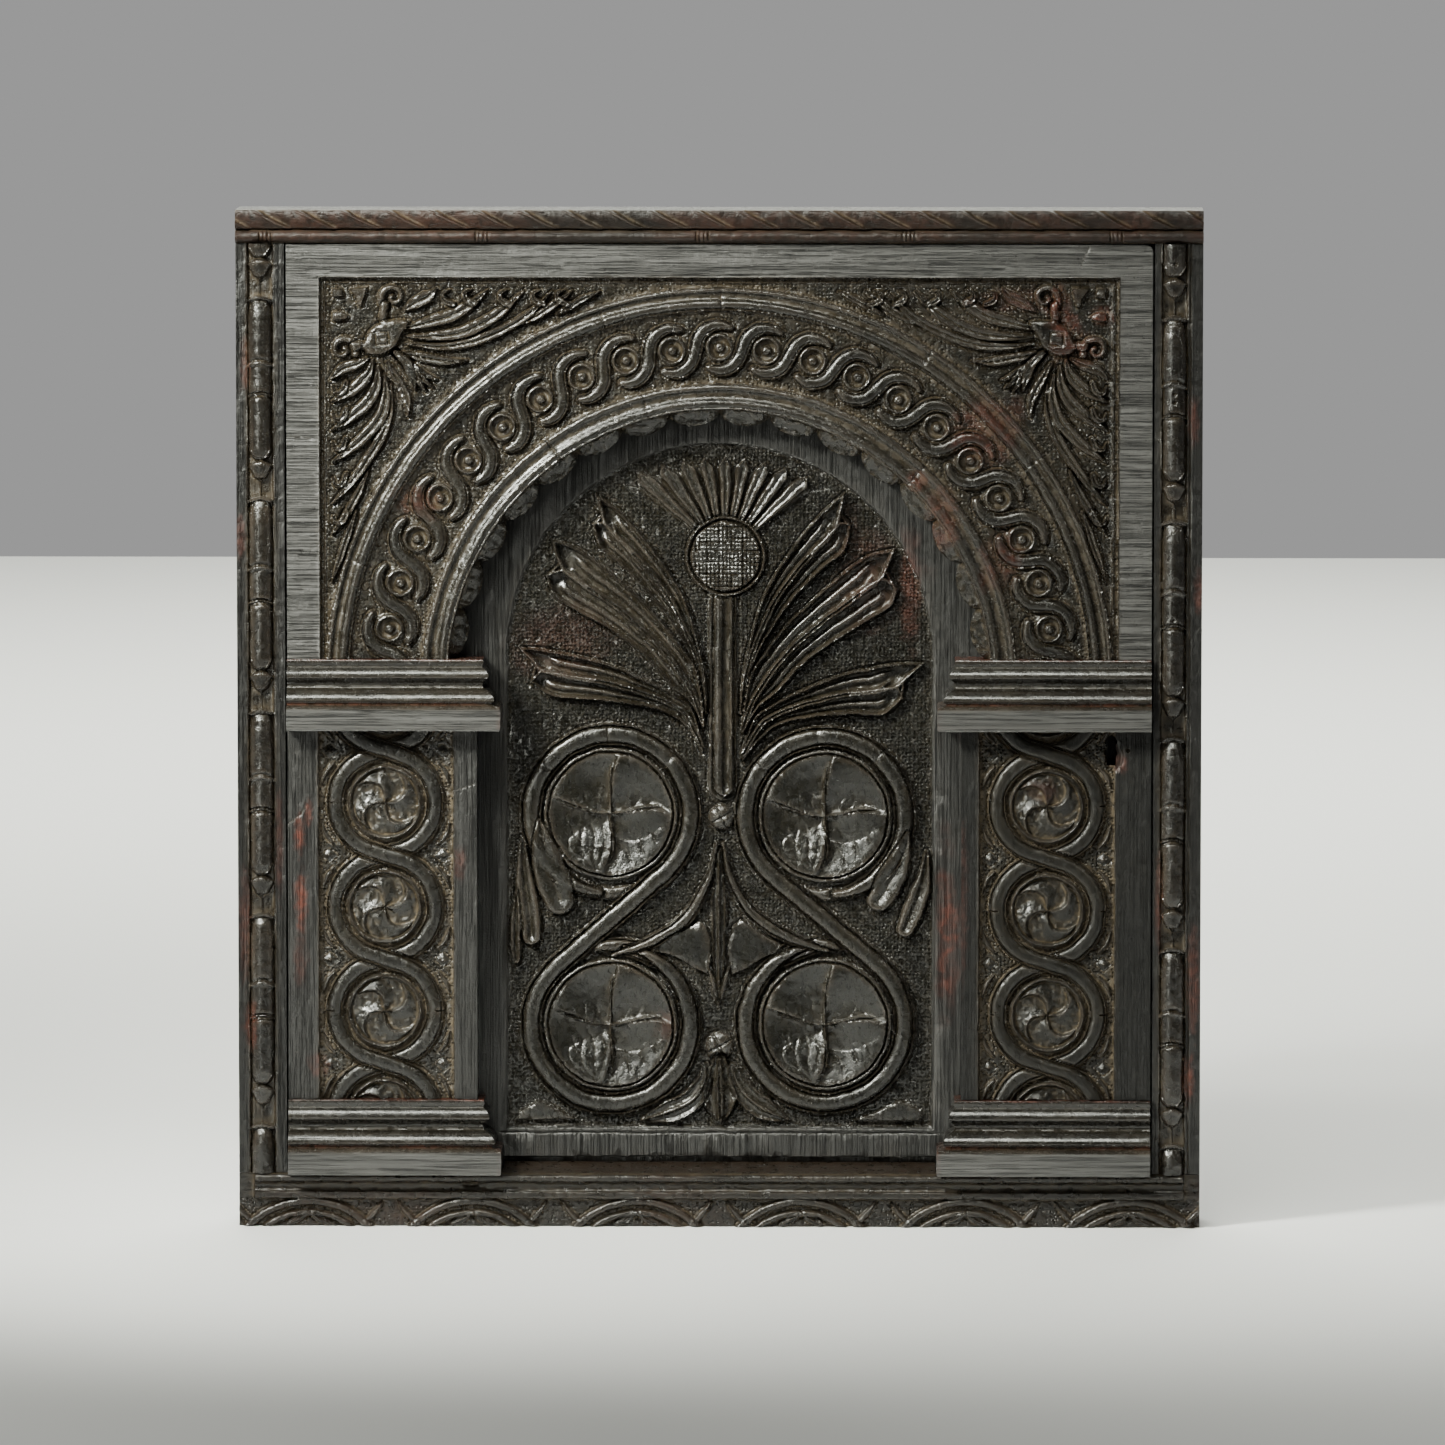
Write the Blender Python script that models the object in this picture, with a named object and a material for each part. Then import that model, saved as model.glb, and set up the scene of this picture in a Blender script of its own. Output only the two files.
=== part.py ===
"""Carved oak arcade panel: a round-arched, applied arcade over a carved panel,
held between two beaded stiles and two moulded rails.

The face looks along -Y, the back lies in the plane y = 0, and the origin is the
middle of the back. Relief is measured outward from the ground that carries it.
"""
import math

import bmesh
import bpy
from mathutils import Vector
from mathutils.geometry import interpolate_bezier

MM = 0.001

# Overall frame
OVERALL_WIDTH = 702 * MM
OVERALL_HEIGHT = 743 * MM
STILE_WIDTH = 35 * MM
TOP_RAIL_HEIGHT = 24 * MM
BOTTOM_RAIL_HEIGHT = 38.7 * MM
PANEL_THICKNESS = 20 * MM
BOARD_THICKNESS = 29.7 * MM
REBATE_WIDTH = 10 * MM
FIT_GAP = 0.3 * MM
OPEN_JOINT = 1.5 * MM
TOP_JOINT = 1.0 * MM

# Arcade of arch board, pilasters and moulded blocks
PILASTER_WIDTH = 138 * MM
PILASTER_LENGTH = 271.2 * MM
IMPOST_HEIGHT = 51 * MM
BASE_HEIGHT = 54 * MM
ARCH_CENTRE_DROP = 15.8 * MM
SOFFIT_SETBACK = 18.5 * MM
SOFFIT_LOBE_DEPTH = 9 * MM
SOFFIT_LOBES = 16
INNER_RING_WIDTH = 21 * MM
GUILLOCHE_BAND = 54 * MM
OUTER_RING_WIDTH = 16 * MM
RING_CHANNEL_DEPTH = 2.5 * MM
FIELD_SINK = 5.5 * MM

# Running scroll in the arch band
ARCH_ROUNDELS = 21
ARCH_ROUNDEL_PITCH = math.radians(8.1)
ARCH_ROUNDEL_RADIUS = 11.5 * MM
ARCH_ROUNDEL_HEIGHT = 3.6 * MM
ARCH_SCROLL_SPACE = 0.8 * MM
ARCH_SCROLL_WIDTH = 7.5 * MM
ARCH_SCROLL_HEIGHT = 4.2 * MM

# Spandrels
BORDER_WIDTH = 24 * MM
SPANDREL_HEIGHT = 4.5 * MM
SPANDREL_TILE_HEIGHT = 2.7 * MM

# Pilaster guilloche
OUTER_BORDER = 22 * MM
INNER_BORDER = 17 * MM
PILASTER_ROUNDELS = 3
PILASTER_END_SHARE = 0.54
PILASTER_TOP_SHARE = 0.70
PILASTER_STRAP_CLEARANCE = 6.75 * MM
PILASTER_STRAP_WIDTH = 12.5 * MM
PILASTER_STRAP_HEIGHT = 4.6 * MM
PILASTER_UNDER_HEIGHT = 3.8 * MM
PILASTER_DISC_CLEARANCE = 2.75 * MM
PILASTER_DISC_HEIGHT = 5 * MM
PILASTER_STRAP_STEP = math.radians(42)
LOZENGE_SIZE = 5.5 * MM
LOZENGE_HEIGHT = 4.2 * MM
LOZENGE_CLEARANCE = 1 * MM

# Keyhole in the right-hand pilaster
KEYHOLE_WIDTH = 9 * MM
KEYHOLE_LENGTH = 22.5 * MM
KEYHOLE_FROM_OUTER_EDGE = 29 * MM
KEYHOLE_BELOW_IMPOST = 4 * MM

# Carved panel: the sunk arch, its borders and the sill under it
PANEL_SINK = 4 * MM
PANEL_BAND = 21.5 * MM
PANEL_FOOT_BORDER = 18 * MM
PANEL_FOOT_LINE = 6 * MM
PANEL_FOOT_SLOT = 3.5 * MM
PANEL_TONGUE_SINK = 6 * MM
SILL_RISE = 5 * MM

# Discs and straps, placed down from the spring of the panel's arch
DISC_RADIUS = 45 * MM
DISC_OFFSET = 78.5 * MM
DISC_DROP = 116.5 * MM
DISC_PITCH = 154.4 * MM
DISC_HEIGHT = 8 * MM
STRAP_RADIUS = 58.5 * MM
STRAP_WIDTH = 16 * MM
STRAP_HEIGHT = 6 * MM
BUTTON_RADIUS = 10 * MM
BUTTON_HEIGHT = 7.5 * MM
SPEAR_WIDTH = 22 * MM
SPEAR_CLEARANCE = 18 * MM
TILE_HEIGHT = 3 * MM
DROP_HEIGHT = 4 * MM
FOOT_LEAF_LENGTH = 46 * MM
FOOT_LEAF_WIDTH = 20 * MM
SLIP_WIDTH = 8 * MM
WING_WIDTH = 9 * MM

# Flower, crown, stem and leaves, placed up from the spring
FLOWER_X = 3 * MM
FLOWER_RISE = 73.5 * MM
FLOWER_RADIUS = 29 * MM
FLOWER_HEIGHT = 5.5 * MM
CROWN_PETALS = 9
CROWN_CLEARANCE = 9 * MM
CROWN_FAN_PITCH = math.radians(6.3)
CROWN_FOOT_PITCH = math.radians(11.5)
PETAL_NOTCH = 10 * MM
PETAL_RIDGE_HEIGHT = 4.5 * MM
PETAL_VALLEY_HEIGHT = 2.2 * MM
STEM_WIDTH = 13 * MM
STEM_HEIGHT = 4 * MM
STEM_FOOT_DROP = 97 * MM
LEAF_HEIGHT = 4.5 * MM
LEAF_ROOT_SPACE = 3 * MM

# Stiles
BEAD_INSET = 5 * MM
BEAD_WIDTH = 19 * MM
BEAD_HEIGHT = 9 * MM
BEAD_PERIOD = 151 * MM
BEAD_START = 40 * MM

# Rails
CABLE_HEIGHT = 9 * MM
CABLE_PITCH = 32 * MM
CABLE_BAR_WIDTH = 13 * MM
CABLE_LEAN = 13.5 * MM
CABLE_ZONE = 13.5 * MM
RAIL_BEAD_WIDTH = 9.5 * MM
RAIL_BEAD_HEIGHT = 6 * MM
SILL_MOULD_HEIGHT = 8 * MM
SILL_ROLL_DROP = 7 * MM
SILL_HOLLOW_DROP = 13 * MM
SILL_FILLET_DROP = 18.7 * MM
LUNETTE_PITCH = 120 * MM
LUNETTE_RADIUS = 64 * MM
LUNETTE_BAR_WIDTH = 6 * MM
LUNETTE_HEIGHT = 3.6 * MM
LUNETTE_INNER_GAP = 9 * MM
LUNETTE_STEP = math.radians(22)

# How far relief is let into the wood behind it, and how fine its facets are
ROOT = 1.5 * MM
TRIM = 0.4 * MM
ARC_STEP = math.radians(35)
RING_STEP = math.radians(12)

# Places that follow from the sizes
HALF_WIDTH = OVERALL_WIDTH / 2
TOP_Z = OVERALL_HEIGHT / 2
PANEL_FRONT = -PANEL_THICKNESS
BOARD_BACK = PANEL_FRONT - FIT_GAP
BOARD_FRONT = BOARD_BACK - BOARD_THICKNESS
STILE_INNER_X = HALF_WIDTH - STILE_WIDTH
ARCADE_HALF_WIDTH = STILE_INNER_X - OPEN_JOINT
TOP_RAIL_Z = TOP_Z - TOP_RAIL_HEIGHT
ARCADE_TOP_Z = TOP_RAIL_Z - TOP_JOINT
BOTTOM_RAIL_Z = -TOP_Z + BOTTOM_RAIL_HEIGHT
BASE_Z = BOTTOM_RAIL_Z + FIT_GAP
BASE_TOP_Z = BASE_Z + BASE_HEIGHT
PILASTER_Z = BASE_TOP_Z + FIT_GAP
PILASTER_TOP_Z = PILASTER_Z + PILASTER_LENGTH
IMPOST_Z = PILASTER_TOP_Z + FIT_GAP
IMPOST_TOP_Z = IMPOST_Z + IMPOST_HEIGHT
ARCH_FOOT_Z = IMPOST_TOP_Z + FIT_GAP
ARCH_CENTRE_Z = ARCH_FOOT_Z - ARCH_CENTRE_DROP
PILASTER_INNER_X = ARCADE_HALF_WIDTH - PILASTER_WIDTH
SOFFIT_RADIUS = PILASTER_INNER_X + SOFFIT_SETBACK
INNER_RING_OUT = SOFFIT_RADIUS + INNER_RING_WIDTH
BAND_OUT = INNER_RING_OUT + GUILLOCHE_BAND
OUTER_RING_OUT = BAND_OUT + OUTER_RING_WIDTH
BAND_MIDDLE = (INNER_RING_OUT + BAND_OUT) / 2
FIELD_Y = BOARD_FRONT + FIELD_SINK
GROUND_Y = PANEL_FRONT + PANEL_SINK
PANEL_SPRING_Z = IMPOST_TOP_Z
PANEL_ARCH_RADIUS = PILASTER_INNER_X - PANEL_BAND
UPPER_DISC_Z = PANEL_SPRING_Z - DISC_DROP
LOWER_DISC_Z = UPPER_DISC_Z - DISC_PITCH
FLOWER_Z = PANEL_SPRING_Z + FLOWER_RISE
PILASTER_FIELD_HALF = (PILASTER_WIDTH - INNER_BORDER - OUTER_BORDER) / 2
PILASTER_PITCH = PILASTER_LENGTH / (PILASTER_ROUNDELS + PILASTER_END_SHARE)
PILASTER_STRAP_RADIUS = (
    PILASTER_FIELD_HALF - PILASTER_STRAP_CLEARANCE - PILASTER_STRAP_WIDTH / 2)
PILASTER_DISC_RADIUS = (
    PILASTER_STRAP_RADIUS - PILASTER_STRAP_WIDTH / 2 - PILASTER_DISC_CLEARANCE)

# Profile of the moulded blocks: share of the height from the top, and projection
BLOCK_PROFILE = (
    (0.00, 5 * MM),
    (0.08, 8.5 * MM),
    (0.20, 8 * MM),
    (0.26, 5.5 * MM),
    (0.36, 7 * MM),
    (0.44, 13 * MM),
    (0.55, 12.5 * MM),
    (0.65, 12 * MM),
    (0.66, 18 * MM),
    (1.00, 18 * MM),
)
BLOCK_REACH = max(projection for share, projection in BLOCK_PROFILE)

OAK_DARK = (0.055, 0.042, 0.030)
OAK_GREY = (0.090, 0.080, 0.068)
OAK_RED = (0.085, 0.050, 0.034)


def clear_scene():
    for thing in list(bpy.data.objects):
        bpy.data.objects.remove(thing, do_unlink=True)


def oak(name, colour):
    material = bpy.data.materials.new(name)
    material.use_nodes = True
    shader = material.node_tree.nodes["Principled BSDF"]
    shader.inputs["Base Color"].default_value = (*colour, 1.0)
    shader.inputs["Roughness"].default_value = 0.45
    shader.inputs["Metallic"].default_value = 0.0
    return material


def make_object(name, bm, material=None):
    bmesh.ops.recalc_face_normals(bm, faces=bm.faces)
    mesh = bpy.data.meshes.new(name)
    bm.to_mesh(mesh)
    bm.free()
    thing = bpy.data.objects.new(name, mesh)
    bpy.context.scene.collection.objects.link(thing)
    if material is not None:
        mesh.materials.append(material)
    return thing


def use_as_tool(thing):
    thing.hide_render = True
    thing.display_type = "WIRE"


def boolean(thing, name, operation, tool):
    use_as_tool(tool)
    modifier = thing.modifiers.new(name, "BOOLEAN")
    modifier.operation = operation
    modifier.solver = "EXACT"
    modifier.use_self = True
    modifier.object = tool


def combine(base, bm, name, operation, keep=None):
    """Join or cut the base with every body in bm, which may cross one another.

    What lies outside the box keep, given by two corners, is cut off first.
    """
    tool = make_object(name, bm)
    if keep is not None:
        limits = bmesh.new()
        box(limits, *keep)
        boolean(tool, name + "_trim", "INTERSECT", make_object(name + "_limits", limits))
    boolean(base, name, operation, tool)


# Solid bodies made from rows of points


def skin(bm, rows):
    """Skin equal rows of points, each row a closed loop, and cap the two ends."""
    rings = [[bm.verts.new(point) for point in row] for row in rows]
    for near, far in zip(rings, rings[1:]):
        for k in range(len(near)):
            after = (k + 1) % len(near)
            bm.faces.new((near[k], near[after], far[after], far[k]))
    bm.faces.new(rings[0][::-1])
    bm.faces.new(rings[-1])


def prism(bm, outline, y_back, y_front):
    """Extrude an outline of (x, z) points between two depths."""
    back = [Vector((x, y_back, z)) for x, z in outline]
    front = [Vector((x, y_front, z)) for x, z in outline]
    skin(bm, (back, front))


def box(bm, low, high):
    outline = ((low[0], low[2]), (high[0], low[2]), (high[0], high[2]), (low[0], high[2]))
    prism(bm, outline, high[1], low[1])


def bar(bm, path, widths, section, ground, heights, reach=None):
    """Carve a bar along a path of (x, z) points.

    The section holds (across, height) shares; widths and heights are real sizes.
    Its two outer points run down into the ground, straight or from their height.
    The reach pushes the last row on by a share of its width, for leaf tips.
    """
    sloping = section[0][1] == 0
    rows = []
    last = len(path) - 1
    for i, (x, z) in enumerate(path):
        before = path[max(i - 1, 0)]
        after = path[min(i + 1, last)]
        along = Vector((after[0] - before[0], after[1] - before[1])).normalized()
        across = Vector((-along.y, along.x))
        row = []
        for k, (share, height) in enumerate(section):
            u = share * widths[i] / 2
            push = reach[k] * widths[i] if reach and i == last else 0.0
            row.append(Vector((
                x + across.x * u + along.x * push,
                ground - height * heights[i],
                z + across.y * u + along.y * push,
            )))
        if sloping:
            row[0].y = ground + ROOT
            row[-1].y = ground + ROOT
        else:
            for k in (-1, 0):
                root = row[k].copy()
                root.y = ground + ROOT
                row.append(root)
        rows.append(row)
    skin(bm, rows)


def dome(bm, centre, radius, ground, height, sides, shoulder):
    """Raise a round boss with a sloping shoulder and a flat crown."""
    rows = []
    for share, level in ((1.0, -ROOT / height), (shoulder, 1.0)):
        row = []
        for k in range(sides):
            turn = math.tau * (k + 0.5) / sides
            row.append(Vector((
                centre[0] + radius * share * math.sin(turn),
                ground - height * level,
                centre[1] + radius * share * math.cos(turn),
            )))
        rows.append(row)
    skin(bm, rows)


def whirl_disc(bm, centre, radius, ground, height):
    """Raise a disc of four swirling blades, each rising towards the next one's foot."""

    def point(share, turn, y):
        return Vector((
            centre[0] + radius * share * math.cos(turn),
            y,
            centre[1] + radius * share * math.sin(turn),
        ))

    blades = 4
    steps = 2
    hub = bm.verts.new(point(0.0, 0.0, ground - height))
    inner = []
    outer = []
    # Share of the radius, twist and share of the height at the middle and the rim
    for ring, share, twist, level in ((inner, 0.55, 0.22, 0.85), (outer, 1.0, 0.0, 0.55)):
        for blade in range(blades):
            for k in range(steps + 1):
                turn = math.tau * (blade + k / steps) / blades + twist
                rise = level * (0.5 + 0.5 * k / steps)
                ring.append(bm.verts.new(point(share, turn, ground - height * rise)))
    root = [bm.verts.new(point(1.0, math.tau * k / (blades * steps), ground + ROOT))
            for k in range(blades * steps)]
    row = steps + 1
    for blade in range(blades):
        for k in range(steps):
            a = blade * row + k
            bm.faces.new((hub, inner[a], inner[a + 1]))
            bm.faces.new((inner[a], outer[a], outer[a + 1], inner[a + 1]))
            r = blade * steps + k
            bm.faces.new((outer[a], root[r], root[(r + 1) % len(root)], outer[a + 1]))
        crest = blade * row + steps
        foot = (crest + 1) % len(inner)
        bm.faces.new((hub, inner[crest], inner[foot]))
        bm.faces.new((inner[crest], outer[crest], outer[foot], inner[foot]))
        r = (blade + 1) * steps % len(root)
        bm.faces.new((outer[crest], root[r], outer[foot]))
    bm.faces.new(root)


# Paths in the plane of the face


def arc(centre, radius, start, stop, step=ARC_STEP):
    """Points on a circle from one angle to another, counted from +x towards +z."""
    count = max(2, math.ceil(abs(stop - start) / step))
    points = []
    for k in range(count + 1):
        turn = start + (stop - start) * k / count
        points.append((centre[0] + radius * math.cos(turn), centre[1] + radius * math.sin(turn)))
    return points


def winding(centres, radius, start, stop, clockwise=True, step=ARC_STEP):
    """Wind round circles in turn, changing sides along their crossing tangents."""
    points = []
    enter = start
    for i, centre in enumerate(centres):
        if i + 1 < len(centres):
            gap = Vector(centres[i + 1]) - Vector(centre)
            heading = math.atan2(gap.y, gap.x)
            swing = math.acos(min(1.0, 2 * radius / gap.length))
            leave = heading + swing if clockwise else heading - swing
        else:
            leave = stop
        if clockwise:
            while leave > enter:
                leave -= math.tau
        else:
            while leave < enter:
                leave += math.tau
        points += arc(centre, radius, enter, leave, step)
        enter = leave + math.pi
        clockwise = not clockwise
    return points


def curve(start, lead, arrive, end, count):
    """Points on a smooth curve that leaves and arrives by two offsets."""
    first = Vector((*start, 0))
    final = Vector((*end, 0))
    handles = (first + Vector((*lead, 0)), final + Vector((*arrive, 0)))
    return [(p.x, p.y) for p in interpolate_bezier(first, *handles, final, count)]


STRAP_SECTION = ((-1, 0), (-0.75, 1.0), (0, 0.68), (0.75, 1.0), (1, 0))
FLAT_SECTION = ((-1, 0.5), (-0.5, 1.0), (0.5, 1.0), (1, 0.5))
RIDGE_SECTION = ((-1, 0), (0, 1.0), (1, 0))
BEVELLED_SECTION = ((-1, 0), (-0.55, 1.0), (0.55, 1.0), (1, 0))
LEAF_SECTION = ((-1, 0.8), (-0.5, 0.35), (0, 1.0), (0.5, 0.35), (1, 0.8))
LEAF_REACH = (0.55, 0.25, 0.45, 0.25, 0.55)


def even(path, value):
    return [value] * len(path)


def leaf(bm, path, width, ground, height):
    """Carve a fluted leaf that widens from its root towards three tips."""
    last = len(path) - 1
    widths = [width * (0.16 + 0.84 * math.sin(math.pi / 2 * min(1.0, 1.25 * i / last)))
              for i in range(last + 1)]
    widths[-1] *= 0.8
    bar(bm, path, widths, LEAF_SECTION, ground, even(path, height), LEAF_REACH)


def drop(bm, top, bottom, width, ground, height):
    """Carve a hanging drop, narrow above and round below."""
    shares = ((0.0, 0.55), (0.45, 0.9), (0.75, 1.0), (0.92, 0.7), (1.0, 0.2))
    path = [(top[0] + (bottom[0] - top[0]) * s, top[1] + (bottom[1] - top[1]) * s)
            for s, _ in shares]
    widths = [width * w for _, w in shares]
    bar(bm, path, widths, BEVELLED_SECTION, ground, even(path, height))


# Centre panel


def arch_outline(radius, centre_z, foot_z):
    points = arc((0, centre_z), radius, 0, math.pi, RING_STEP)
    return [(radius, foot_z)] + points + [(-radius, foot_z)]


def panel_straps(bm, side):
    upper = (side * DISC_OFFSET, UPPER_DISC_Z)
    lower = (side * DISC_OFFSET, LOWER_DISC_Z)
    inner_turn = math.radians(276 if side > 0 else 264)
    end_turn = math.radians(90)
    path = winding((upper, lower), STRAP_RADIUS, inner_turn, end_turn, clockwise=side < 0)
    heights = [STRAP_HEIGHT * (1.0 - 0.45 * max(0.0, (i - len(path) + 5) / 4))
               for i in range(len(path))]
    heights[0] = STRAP_HEIGHT * 0.6
    bar(bm, path, even(path, STRAP_WIDTH), STRAP_SECTION, GROUND_Y, heights)
    for centre in (upper, lower):
        whirl_disc(bm, centre, DISC_RADIUS, GROUND_Y, DISC_HEIGHT)


def panel_leaves(bm, side):
    """Three leaves spring from the stem; those on the right hang a little lower."""
    droop = 1.0 if side > 0 else 0.0
    root_x = STEM_WIDTH / 2 + LEAF_ROOT_SPACE
    sprays = (
        # root from the spring, lead, arrival, tip from the spring, width, droop
        (-36, (4, 45), (-25, -31), (82, 102), 24, 1),
        (-43, (8, 38), (-45, -33), (113, 66), 33, 8),
        (-64, (12, 28), (-45, -4), (130, -6), 27, 13),
    )
    for root_z, lead, arrive, tip, width, fall in sprays:
        start = (FLOWER_X + side * root_x, PANEL_SPRING_Z + root_z * MM)
        end = (side * tip[0] * MM, PANEL_SPRING_Z + (tip[1] - fall * droop) * MM)
        lead_out = (side * lead[0] * MM, lead[1] * MM)
        arrive_in = (side * arrive[0] * MM, arrive[1] * MM)
        path = curve(start, lead_out, arrive_in, end, 6)
        leaf(bm, path, width * MM, GROUND_Y, LEAF_HEIGHT)


def panel_crown(bm):
    """A pleated fan of petals stands on the flower."""
    half = (CROWN_PETALS - 1) / 2
    inner = []
    outer = []
    heights = []
    for k in range(2 * CROWN_PETALS - 1):
        place = k / 2 - half
        fan = CROWN_FAN_PITCH * place
        base = CROWN_FOOT_PITCH * place
        ridge = k % 2 == 0
        length = PANEL_ARCH_RADIUS - CROWN_CLEARANCE - (0 if ridge else PETAL_NOTCH)
        inner.append((FLOWER_X + (FLOWER_RADIUS - ROOT) * math.sin(base),
                      FLOWER_Z + (FLOWER_RADIUS - ROOT) * math.cos(base)))
        outer.append((length * math.sin(fan), PANEL_SPRING_Z + length * math.cos(fan)))
        heights.append(PETAL_RIDGE_HEIGHT if ridge else PETAL_VALLEY_HEIGHT)
    rows = []
    for (xa, za), (xb, zb), height in zip(inner, outer, heights):
        rows.append((
            Vector((xa, GROUND_Y - height, za)),
            Vector((xb, GROUND_Y - height, zb)),
            Vector((xb, GROUND_Y + ROOT, zb)),
            Vector((xa, GROUND_Y + ROOT, za)),
        ))
    skin(bm, rows)


def panel_stem(bm):
    foot = PANEL_SPRING_Z - STEM_FOOT_DROP
    top = FLOWER_Z - FLOWER_RADIUS + ROOT
    path = [(FLOWER_X, top), (FLOWER_X, (top + foot) / 2), (FLOWER_X, foot)]
    section = ((-1, 0.5), (-0.6, 0.9), (-0.3, 0.45), (0, 1.0), (0.3, 0.45), (0.6, 0.9), (1, 0.5))
    bar(bm, path, even(path, STEM_WIDTH), section, GROUND_Y, even(path, STEM_HEIGHT))
    dome(bm, (FLOWER_X, FLOWER_Z), FLOWER_RADIUS, GROUND_Y, FLOWER_HEIGHT, 14, 0.84)


def panel_middle(bm):
    """Buttons, spear, tiles and foot leaf between the discs."""
    upper_button = (0, UPPER_DISC_Z - 2 * MM)
    lower_button = (0, LOWER_DISC_Z - 15 * MM)
    for centre in (upper_button, lower_button):
        dome(bm, centre, BUTTON_RADIUS, GROUND_Y, BUTTON_HEIGHT, 8, 0.6)
    top = upper_button[1] - SPEAR_CLEARANCE
    foot = lower_button[1] + SPEAR_CLEARANCE
    shares = ((0.0, 0.3), (0.25, 0.9), (0.5, 1.0), (0.8, 0.6), (1.0, 0.12))
    spear = [(0, top + (foot - top) * s) for s, _ in shares]
    widths = [SPEAR_WIDTH * w for _, w in shares]
    bar(bm, spear, widths, LEAF_SECTION, GROUND_Y, even(spear, LEAF_HEIGHT))
    tile_z = (upper_button[1] + lower_button[1]) / 2 - 14 * MM
    for side in (-1, 1):
        outline = ((9, 9), (18, 11), (31, 3), (22, -6), (10, -13))
        prism(bm, [(side * x * MM, tile_z + z * MM) for x, z in outline],
              GROUND_Y + ROOT, GROUND_Y - TILE_HEIGHT)
        slip = curve((side * 6 * MM, top), (side * 3 * MM, -30 * MM), (side * -22 * MM, 10 * MM),
                     (side * 62 * MM, tile_z + 10 * MM), 5)
        bar(bm, slip, even(slip, SLIP_WIDTH), RIDGE_SECTION, GROUND_Y, even(slip, 4.8 * MM))
    foot_top = (0, lower_button[1] - 6 * MM)
    foot_tip = (0, foot_top[1] - FOOT_LEAF_LENGTH)
    drop(bm, foot_top, foot_tip, FOOT_LEAF_WIDTH, GROUND_Y, 5 * MM)
    for side in (-1, 1):
        wing = curve((side * 9 * MM, foot_top[1] - 8 * MM), (side * 2 * MM, -14 * MM),
                     (side * -14 * MM, 3 * MM), (side * 42 * MM, foot_tip[1] + 3 * MM), 5)
        bar(bm, wing, even(wing, WING_WIDTH), RIDGE_SECTION, GROUND_Y, even(wing, 4.4 * MM))


def panel_drops(bm, side):
    """Drops hang outside the strap between the upper and the lower disc."""
    hangers = (
        # top offset from the disc, tip offset, width
        ((46, -38), (34, -78), 21),
        ((60, -32), (58, -98), 18),
        ((70, -28), (71, -110), 9),
    )
    for top, tip, width in hangers:
        start = (side * (DISC_OFFSET + top[0] * MM - 14 * MM), UPPER_DISC_Z + top[1] * MM)
        end = (side * (DISC_OFFSET + tip[0] * MM), UPPER_DISC_Z + tip[1] * MM)
        drop(bm, start, end, width * MM, GROUND_Y, DROP_HEIGHT)


def panel_corners(bm):
    """Plain leaf-shaped tiles fill the corners under the lower discs."""
    foot = LOWER_DISC_Z - DISC_RADIUS - 28 * MM
    for side in (-1, 1):
        outline = ((150, 2), (146, 14), (134, 22), (118, 14), (104, 2))
        prism(bm, [(side * x * MM, foot + z * MM) for x, z in outline],
              GROUND_Y + ROOT, GROUND_Y - TILE_HEIGHT)


def centre_panel():
    edge_x = STILE_INNER_X + REBATE_WIDTH - FIT_GAP
    low_z = BOTTOM_RAIL_Z - REBATE_WIDTH + FIT_GAP
    high_z = TOP_RAIL_Z + REBATE_WIDTH - FIT_GAP
    bm = bmesh.new()
    box(bm, (-edge_x, PANEL_FRONT, low_z), (edge_x, 0.0, high_z))
    panel = make_object("centre_panel", bm, oak("centre_panel_oak", OAK_DARK))
    border_z = BOTTOM_RAIL_Z + SILL_RISE + PANEL_FOOT_SLOT
    field_foot = border_z + PANEL_FOOT_BORDER + PANEL_FOOT_LINE
    cut = bmesh.new()
    air = PANEL_FRONT - PANEL_SINK
    prism(cut, arch_outline(PANEL_ARCH_RADIUS, PANEL_SPRING_Z, field_foot), GROUND_Y, air)
    box(cut, (-2 * edge_x, air, 2 * low_z), (2 * edge_x, PANEL_FRONT + PANEL_TONGUE_SINK, border_z))
    combine(panel, cut, "centre_panel_sinking", "DIFFERENCE")
    relief = bmesh.new()
    panel_crown(relief)
    panel_stem(relief)
    panel_middle(relief)
    panel_corners(relief)
    for side in (-1, 1):
        panel_straps(relief, side)
        panel_leaves(relief, side)
        panel_drops(relief, side)
    combine(panel, relief, "centre_panel_relief", "UNION")


# Arch board


def soffit_outline():
    """The lobed edge of the opening, from the right foot over the crown to the left."""
    foot_turn = math.asin(ARCH_CENTRE_DROP / SOFFIT_RADIUS)
    sweep = math.pi - 2 * foot_turn
    per_lobe = 4
    points = []
    for k in range(SOFFIT_LOBES * per_lobe + 1):
        phase = (k % per_lobe) / per_lobe
        radius = SOFFIT_RADIUS - SOFFIT_LOBE_DEPTH * abs(math.sin(math.pi * phase)) ** 0.6
        turn = foot_turn + sweep * k / (SOFFIT_LOBES * per_lobe)
        points.append((radius * math.cos(turn), ARCH_CENTRE_Z + radius * math.sin(turn)))
    return points


def half_ring(bm, inner, outer, y_back, y_front):
    """An arched band about the arch's centre, running out past the board's foot."""
    centre = (0, ARCH_CENTRE_Z)
    lead = ARCH_CENTRE_DROP / inner * 0.2
    ring = arc(centre, outer, lead, math.pi - lead, RING_STEP)
    ring += arc(centre, inner, math.pi - lead, lead, RING_STEP)
    prism(bm, ring, y_back, y_front)


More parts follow.
